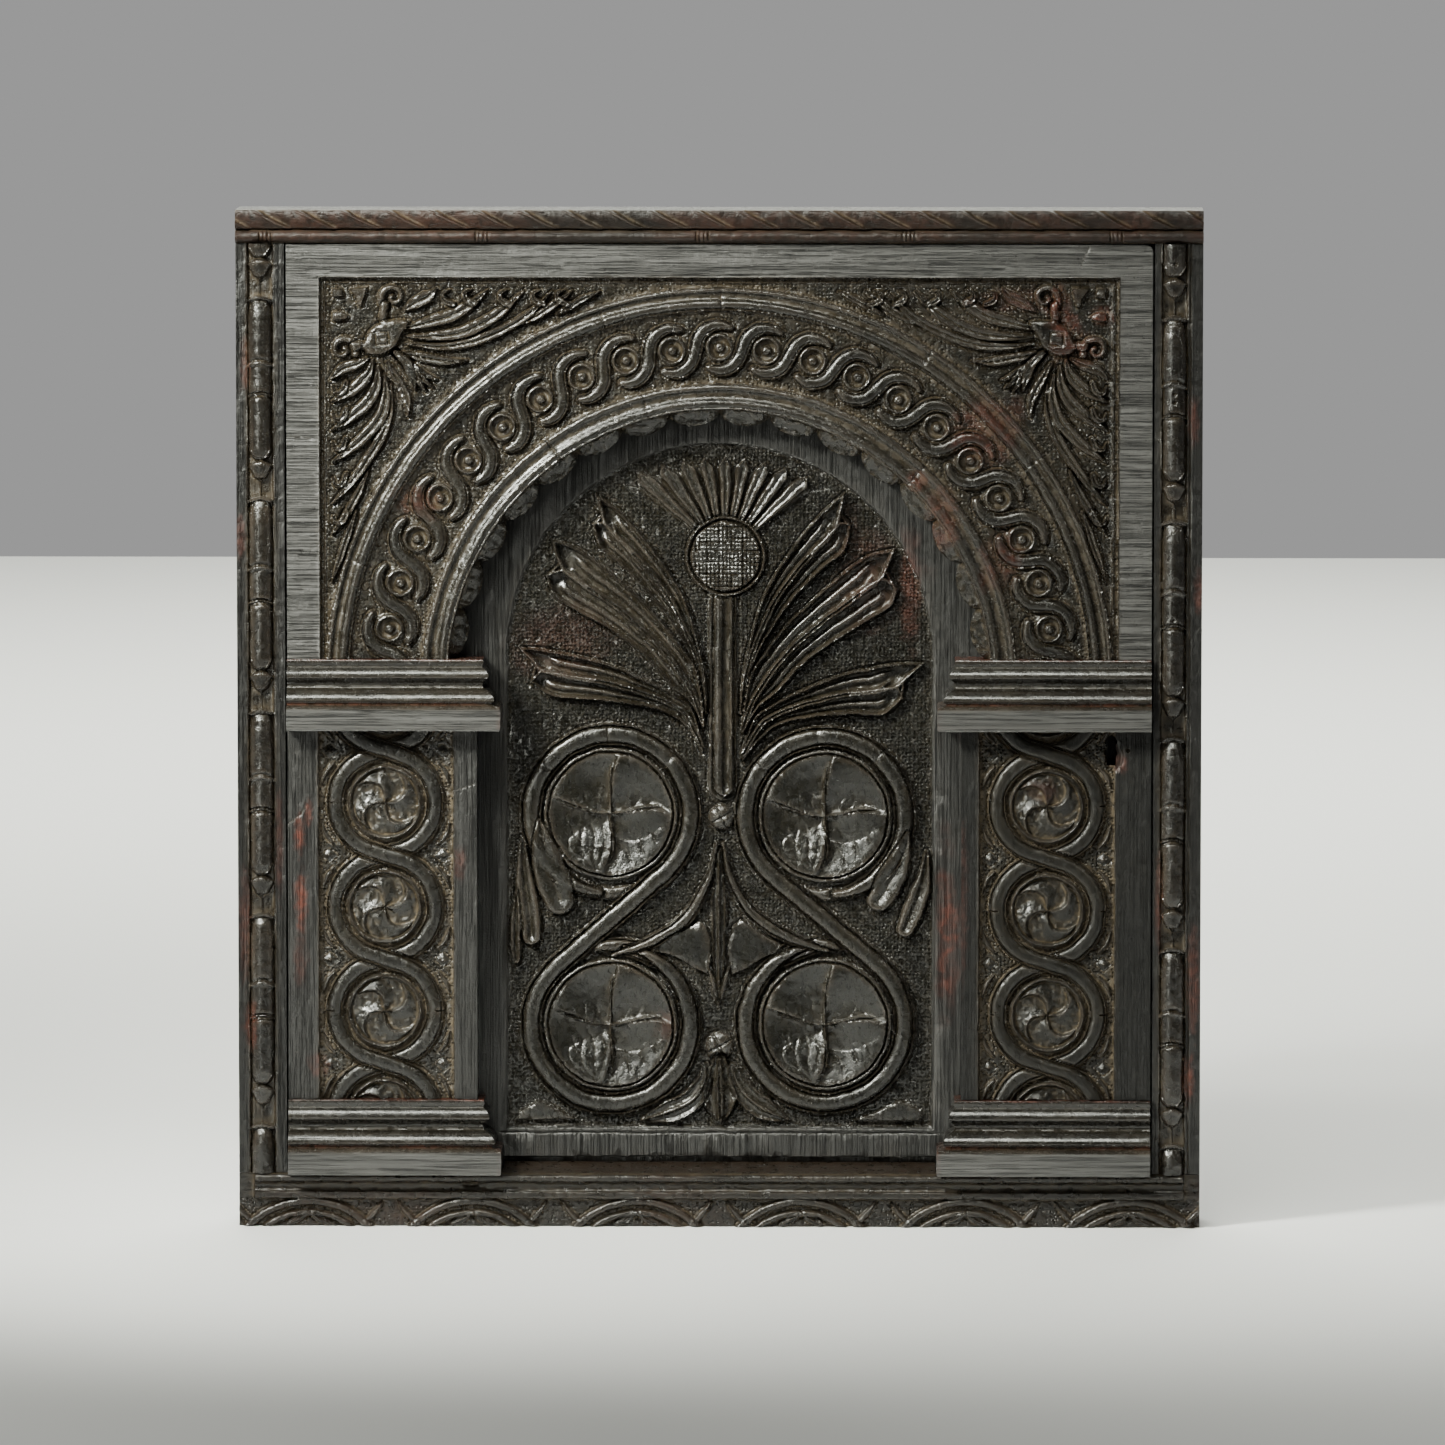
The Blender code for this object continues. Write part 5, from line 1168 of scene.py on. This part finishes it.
def block_mesh(name, sign, low, height, seed):
    """A moulded block: its profile runs across the front and returns round the inner end."""
    # Share of the height from the top, and projection in front of the boards
    knots = [(0.0, 4.8), (0.02, 5.3), (0.05, 5.2), (0.09, 4.4), (0.10, 4.4), (0.115, 5.4),
             (0.14, 6.8), (0.17, 7.9), (0.20, 8.7), (0.23, 9.1), (0.255, 8.7), (0.285, 7.0),
             (0.32, 5.0), (0.36, 4.2), (0.40, 5.0), (0.425, 7.4), (0.45, 9.4), (0.49, 11.4),
             (0.53, 12.7), (0.565, 13.3), (0.59, 12.8), (0.61, 11.2), (0.635, 10.9), (0.645, 13.2),
             (0.65, 16.6), (0.66, 17.6), (0.70, 17.9), (0.97, 17.9), (0.99, 17.5), (1.0, 16.8)]
    shares = np.concatenate([np.linspace(0, 0.66, 62), np.linspace(0.68, 1.0, 16)])
    reach = np.interp(shares, [k[0] for k in knots], [k[1] for k in knots])
    outer = sign * ARCADE_HALF
    columns = 70
    returns = 14
    verts = []
    rows = []
    masks = []
    about = np.convolve(np.pad(reach, 4, mode="edge"), np.ones(9) / 9, "valid")
    ridge = np.clip((reach - about) / 0.8, -1, 1)
    for row, (share, out) in enumerate(zip(shares, reach)):
        z = low + height * (1.0 - share)
        inner = sign * (PILASTER_INNER - out)
        line = []
        points = [(outer, BOARD_BACK)]
        points += [(outer + (inner - outer) * k / columns, BOARD_FRONT + out)
                   for k in range(columns + 1)]
        points += [(inner, BOARD_FRONT + out - (BOARD_FRONT + out - BOARD_BACK) * k / returns)
                   for k in range(1, returns + 1)]
        for k, (x, depth) in enumerate(points):
            if 0 < k < len(points) - 1:
                wob = float(noise(np.array(x), np.array(z), 7.0, seed))
                worn = float(noise(np.array(x), np.array(z), 2.5, seed + 1))
                depth = depth + (0.08 * wob + 0.04 * worn) - 0.35
                if k > columns:
                    x = x + sign * 0.2 * (1 + wob)
            line.append(len(verts))
            verts.append((x, -depth, z))
            masks.append((max(0.0, -ridge[row]), max(0.0, ridge[row])))
        rows.append(line)
    faces = []
    size = len(rows[0])
    for upper, lower in zip(rows, rows[1:]):
        for k in range(size):
            after = (k + 1) % size
            quad = (upper[k], lower[k], lower[after], upper[after])
            faces.append(quad if sign < 0 else quad[::-1])
    for row, flip in ((rows[0], sign > 0), (rows[-1], sign < 0)):
        faces.append(tuple(row if flip else row[::-1]))
    thing = linked(name, verts, faces)
    soften(thing.data, BLOCK_SHARP)
    hollow, worn = np.array(masks).T
    xs, _, zs = np.array(verts).T
    share = 1.0 - (zs - low) / height
    # Red along the moulding's lines and the inner end
    line = tent(share - 0.615, 0.03) + 0.8 * clamp(1 - share / 0.02)
    line = line + 0.6 * tent(np.abs(xs) - (PILASTER_INNER - 17.0), 2.0)
    line = clamp(line) * (0.5 + 0.5 * noise(xs, zs, 14.0, seed + 3))
    # The fillet's flat mask takes the finish's painted grey sheen
    mask(thing.data, 0.7 * hollow, worn, 0.0, clamp(line), clamp((share - 0.68) / 0.02))
    return thing


def sill_mesh():
    """The worn ledge in front of the panel, between the two bases."""
    half = PILASTER_INNER - 18.0 - 0.5
    count = 120
    steps = 12
    verts = []
    for j in range(steps + 1):
        t = j / steps
        depth = BOARD_FRONT - 0.4 - (BOARD_FRONT - BOARD_BACK - 0.9) * t
        for i in range(count + 1):
            x = -half + 2 * half * i / count
            worn = 0.2 * float(noise(np.array(x), np.array(depth), 9.0, 111)) * (t > 0)
            verts.append((x, -depth, BOTTOM_RAIL_Z + 5.0 * t + worn - 0.15))
    width = count + 1
    rows = [[j * width + i for i in range(width)] for j in range(steps + 1)]
    faces = [(a, a + 1, a + width + 1, a + width) for row in rows[:-1] for a in row[:-1]]
    under = []
    for row in (rows[0], rows[-1]):
        for x, y, _ in (verts[row[0]], verts[row[-1]]):
            under.append(len(verts))
            verts.append((x, y, BOTTOM_RAIL_Z - 2.0))
    faces.append((under[0], under[1], *rows[0][::-1]))
    faces.append((under[3], under[2], *rows[-1]))
    faces.append((under[2], under[0], *(row[0] for row in rows)))
    faces.append((under[1], under[3], *(row[-1] for row in rows[::-1])))
    faces.append((under[0], under[2], under[3], under[1]))
    thing = linked("sill_ledge", verts, faces)
    mask(thing.data, 0.12, 0.0, 0.0, 0.12, 0.0)
    return thing


# Finish

RED = (0.085, 0.021, 0.012)


def oak(name, along, dark, light, dust, polish, punch, painted_sheen_grey, red=RED, dents=1.0, coat=0.25,
        ior=1.5):
    """Old waxed oak: grain along one axis, dust in the hollows, rubbed ridges, and a painted grey
    sheen on the flat faces.
    """
    material = bpy.data.materials.new(name)
    material.use_nodes = True
    tree = material.node_tree
    nodes = tree.nodes
    links = tree.links
    shader = nodes["Principled BSDF"]

    def fill(socket, value):
        """Link a socket to another, or set it; three numbers for a colour get their alpha."""
        if isinstance(value, bpy.types.NodeSocket):
            links.new(value, socket)
        elif socket.type == "RGBA":
            socket.default_value = (*value, 1.0)
        else:
            socket.default_value = value

    def node(kind, **inputs):
        new = nodes.new("ShaderNode" + kind)
        for title, value in inputs.items():
            fill(new.inputs[title.replace("_", " ")], value)
        return new

    where = node("TexCoord").outputs["Object"]

    def mapped(scale):
        return node("Mapping", Scale=scale, Vector=where).outputs["Vector"]

    def noised(scale, size, detail=4.0, rough=0.6):
        return node("TexNoise", Scale=size, Detail=detail, Roughness=rough,
                    Vector=mapped(scale)).outputs["Fac"]

    def ramp(fac, first, last, low, high):
        new = node("MapRange", Value=fac, From_Min=first, From_Max=last, To_Min=low, To_Max=high)
        new.interpolation_type = "SMOOTHSTEP"
        return new.outputs["Result"]

    def maths(operation, a, b):
        new = node("Math")
        new.operation = operation
        fill(new.inputs[0], a)
        fill(new.inputs[1], b)
        return new.outputs[0]

    def times(a, b):
        return maths("MULTIPLY", a, b)

    def plus(a, b):
        return maths("ADD", a, b)

    def mix(fac, a, b):
        new = node("Mix")
        new.data_type = "RGBA"
        for socket, value in zip([s for s in new.inputs if s.enabled], (fac, a, b)):
            fill(socket, value)
        return [s for s in new.outputs if s.enabled][0]

    def attribute(title):
        new = node("Attribute")
        new.attribute_name = title
        return new.outputs["Fac"]

    fine = {"X": (0.22, 14.0, 14.0), "Z": (14.0, 14.0, 0.22)}[along]
    long_grain = noised(fine, 85.0, 5.0, 0.7)
    streak = noised(fine, 18.0, 5.0, 0.65)
    patch = noised((1.0, 1.0, 1.0), 22.0, 4.0, 0.6)
    speck = noised((1.0, 1.0, 1.0), 420.0, 3.0, 0.7)
    dent = noised((1.0, 1.0, 1.0), 160.0, 4.0, 0.6)
    colour = mix(ramp(streak, 0.35, 0.68, 0.0, 1.0), dark, light)
    colour = mix(ramp(patch, 0.42, 0.7, 0.0, 0.55), colour, tuple(c * 1.5 for c in light))
    pores = ramp(long_grain, 0.56, 0.68, 0.0, 0.75)
    colour = mix(pores, colour, tuple(c * 0.35 for c in dark))
    worn = times(attribute("wear"), ramp(patch, 0.3, 0.7, 0.25, 1.0))
    colour = mix(times(worn, 0.35), colour, (0.07, 0.055, 0.042))
    # Painted sheen: the flat faces are mixed towards a lighter grey that stands in for the light
    # they reflect
    painted_sheen = times(attribute("flat"), ramp(streak, 0.3, 0.7, 0.3, 0.85))
    colour = mix(painted_sheen, colour, (painted_sheen_grey, painted_sheen_grey * 0.98, painted_sheen_grey * 0.95))
    ticks = times(attribute("flat"), ramp(long_grain, 0.5, 0.62, 0.0, 0.85))
    colour = mix(ticks, colour, tuple(c * 0.5 for c in dark))
    rubbed = times(attribute("red"), ramp(dent, 0.36, 0.62, 0.25, 1.0))
    colour = mix(rubbed, colour, red)
    dusty = times(attribute("dust"), ramp(dent, 0.3, 0.7, 0.35, 1.0))
    dusty = plus(dusty, times(attribute("punch"), ramp(speck, 0.5, 0.8, 0.0, 0.3)))
    dusty = times(dusty, dust)
    colour = mix(dusty, colour, (0.085, 0.062, 0.034))
    links.new(colour, shader.inputs["Base Color"])
    rough = ramp(dent, 0.3, 0.7, polish - 0.06, polish + 0.10)
    rough = plus(rough, times(attribute("flat"), 0.12))
    rough = plus(rough, times(dusty, 0.35))
    links.new(rough, shader.inputs["Roughness"])
    shader.inputs["Metallic"].default_value = 0.0
    shader.inputs["IOR"].default_value = ior
    shader.inputs["Coat Weight"].default_value = coat
    shader.inputs["Coat Roughness"].default_value = 0.16
    # Bump: grain, small dents, and the punched ground
    bumps = times(pores, -0.6)
    for height, weight in ((ticks, -1.0), (streak, 0.25), (dent, 0.85 * dents),
                           (speck, 0.45 * dents)):
        bumps = plus(bumps, times(height, weight))
    if punch:
        cells = node("TexVoronoi", Scale=1.0, Randomness=0.55, Vector=mapped((360.0,) * 3))
        pits = ramp(cells.outputs["Distance"], 0.05, 0.5, -punch, punch)
        bumps = plus(bumps, times(pits, attribute("punch")))
    bump = node("Bump", Strength=0.75, Distance=0.0012, Height=bumps)
    links.new(bump.outputs["Normal"], shader.inputs["Normal"])
    return material


# Grain axis, dark and light wood, then dust, polish, depth of the punch marks and the grey of the
# painted sheen on flat faces
finish = {name: oak(name, *values, **others) for name, values, others in (
    ("panel_oak", ("Z", (0.0014, 0.0013, 0.0007), (0.0044, 0.0040, 0.0022),
                   0.17, 0.24, 3.0, 0.028), {}),
    ("arch_oak", ("X", (0.0014, 0.0013, 0.0008), (0.0046, 0.0042, 0.0027),
                  0.45, 0.21, 1.0, 0.095), {}),
    ("pilaster_oak", ("Z", (0.0016, 0.0014, 0.0008), (0.0050, 0.0044, 0.0027),
                      0.8, 0.28, 1.6, 0.022), {}),
    # A darker, duller copy of pilaster_oak with less painted sheen: painted shade on the right
    # pilaster, where the light falls off
    ("right_pilaster_shaded_oak", ("Z", (0.0014, 0.0013, 0.0007), (0.0044, 0.0039, 0.0024),
                  0.75, 0.33, 1.6, 0.004), {"coat": 0.1, "ior": 1.42}),
    ("block_oak", ("X", (0.0022, 0.0020, 0.0014), (0.0062, 0.0056, 0.0042),
                   0.2, 0.24, 0.0, 0.080), {"dents": 0.3, "coat": 0.3}),
    ("frame_oak", ("Z", (0.0015, 0.0012, 0.0007), (0.0042, 0.0033, 0.0020),
                   0.4, 0.25, 0.6, 0.005), {}),
    ("rail_oak", ("X", (0.0018, 0.0013, 0.0007), (0.0054, 0.0038, 0.0023),
                  0.45, 0.30, 0.6, 0.006),
     {"red": (0.040, 0.015, 0.008), "coat": 0.1, "ior": 1.42}),
    ("cable_oak", ("X", (0.0018, 0.0011, 0.0006), (0.0048, 0.0029, 0.0015),
                   0.5, 0.44, 0.6, 0.004),
     {"red": (0.024, 0.009, 0.005), "coat": 0.0, "ior": 1.36}),
)}


def place(thing, node, slot, material=None):
    thing.data.materials.clear()
    thing.data.materials.append(finish[material or slot])
    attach(thing, "root")
    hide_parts(node)


def plank(x0, x1, z0, z1):
    """Corners of the plain wood behind a carved frame member."""
    return (x0, 0.0, z0), (x1, BOARD_BACK, z1)


place(face_mesh("arch_board_carved", carve_arch(), BOARD_BACK, MOST), "arch_board", "arch_oak")
place(face_mesh("centre_panel_carved", carve_panel(), 0.0, MOST), "centre_panel", "panel_oak")
# The right pilaster takes the darker copy of the pilaster finish, as painted shade
for side, hand in ((-1, "left"), (1, "right")):
    place(face_mesh(hand + "_pilaster_carved", carve_pilaster(side), BOARD_BACK, MOST // 2),
          hand + "_pilaster", "pilaster_oak", "pilaster_oak" if side < 0 else "right_pilaster_shaded_oak")
    x0, x1 = sorted((side * (STILE_INNER + 10.0), side * HALF_WIDTH))
    behind = [plank(x0, x1, BOTTOM_RAIL_Z + KERF, TOP_RAIL_Z - KERF)]
    place(face_mesh(hand + "_stile_carved", carve_stile(side), BOARD_BACK, MOST // 3, behind),
          hand + "_stile", "frame_oak")
    for part, low, high, seed in (("impost", IMPOST_Z, IMPOST_TOP, 121),
                                  ("base", BASE_Z, BASE_TOP, 131)):
        place(block_mesh(f"{hand}_{part}_moulded", side, low, high - low, seed + side),
              f"{hand}_{part}", "block_oak")
groove = STILE_INNER + 10.0
for rail, carved, low, high, in_groove, material in (
    ("top_rail", carve_top, TOP_RAIL_Z + 10.0, TOP_Z, (TOP_RAIL_Z, TOP_RAIL_Z + 10.0), "cable_oak"),
    ("bottom_rail", carve_bottom, FOOT_Z, BOTTOM_RAIL_Z - 10.0,
     (BOTTOM_RAIL_Z - 10.0, BOTTOM_RAIL_Z), "rail_oak"),
):
    behind = [plank(-HALF_WIDTH, HALF_WIDTH, low, high), plank(-HALF_WIDTH, -groove, *in_groove),
              plank(groove, HALF_WIDTH, *in_groove)]
    place(face_mesh(rail + "_carved", carved(), BOARD_BACK, MOST // 3, behind), rail, "frame_oak",
          material)
place(sill_mesh(), "bottom_rail", "frame_oak", "rail_oak")

# Floor, light and camera
REACH = 6000.0
floor = linked("floor", [(-REACH, -REACH, 0), (REACH, -REACH, 0), (REACH, REACH, 0),
                         (-REACH, REACH, 0)], [(0, 1, 2, 3)])
floor.location.z = FOOT_Z * MM - 0.0005
paper = bpy.data.materials.new("pale_floor")
paper.use_nodes = True
matt = paper.node_tree.nodes["Principled BSDF"].inputs
matt["Base Color"].default_value = (0.72, 0.72, 0.72, 1.0)
matt["Roughness"].default_value = 0.9
floor.data.materials.append(paper)
floor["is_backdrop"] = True

# The room is dark before the face and pale behind it
world = bpy.data.worlds.new("studio")
bpy.context.scene.world = world
world.use_nodes = True
sky = world.node_tree
sky.nodes["Background"].inputs["Color"].default_value = (1.0, 1.0, 1.0, 1.0)
toward = sky.nodes.new("ShaderNodeTexCoord")
split = sky.nodes.new("ShaderNodeSeparateXYZ")
level = sky.nodes.new("ShaderNodeMapRange")
for title, value in (("From Min", -0.1), ("From Max", 0.5), ("To Min", 0.012), ("To Max", 0.35)):
    level.inputs[title].default_value = value
sky.links.new(toward.outputs["Generated"], split.inputs["Vector"])
sky.links.new(split.outputs["Y"], level.inputs["Value"])
sky.links.new(level.outputs["Result"], sky.nodes["Background"].inputs["Strength"])


def softbox(name, place_at, target, size, power, spread=60.0):
    lamp = bpy.data.lights.new(name, "AREA")
    lamp.color = (0.96, 0.98, 0.88)
    lamp.shape = "RECTANGLE"
    lamp.size = size[0]
    lamp.size_y = size[1]
    lamp.energy = power
    lamp.spread = math.radians(spread)
    thing = bpy.data.objects.new(name, lamp)
    thing.location = place_at
    thing.rotation_euler = (Vector(target) - Vector(place_at)).to_track_quat("-Z", "Y").to_euler()
    bpy.context.scene.collection.objects.link(thing)


softbox("key", (-1.05, -1.05, 1.0), (-0.05, 0.0, 0.0), (0.34, 0.34), 14.0)
softbox("overhead", (-0.25, -1.3, 1.7), (0.0, 0.0, 0.0), (1.3, 0.25), 6.0)
softbox("strip", (-1.3, -2.5, 0.1), (-0.1, 0.0, 0.0), (0.16, 1.3), 2.3)
softbox("fill", (2.2, -2.6, 1.1), (0.0, 0.0, 0.0), (0.6, 0.6), 0.5)
softbox("backdrop", (0.0, 3.4, 2.6), (0.0, 3.4, 0.0), (3.4, 3.4), 380.0, 180.0)

lens = bpy.data.cameras.new("camera")
camera = bpy.data.objects.new("camera", lens)
aim = Vector((0.0025, -0.05, -0.0015))
azimuth = math.radians(1.0)
elevation = math.radians(5.5)
distance = 8.0
sensor = 36.0
frame_width = 1.052
camera.location = aim + distance * Vector((
    math.sin(azimuth) * math.cos(elevation),
    -math.cos(azimuth) * math.cos(elevation),
    math.sin(elevation)))
camera.rotation_euler = (aim - camera.location).to_track_quat("-Z", "Y").to_euler()
lens.sensor_width = sensor
lens.lens = sensor * distance / frame_width
lens.clip_end = 100.0
bpy.context.scene.collection.objects.link(camera)
bpy.context.scene.camera = camera

low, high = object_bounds()
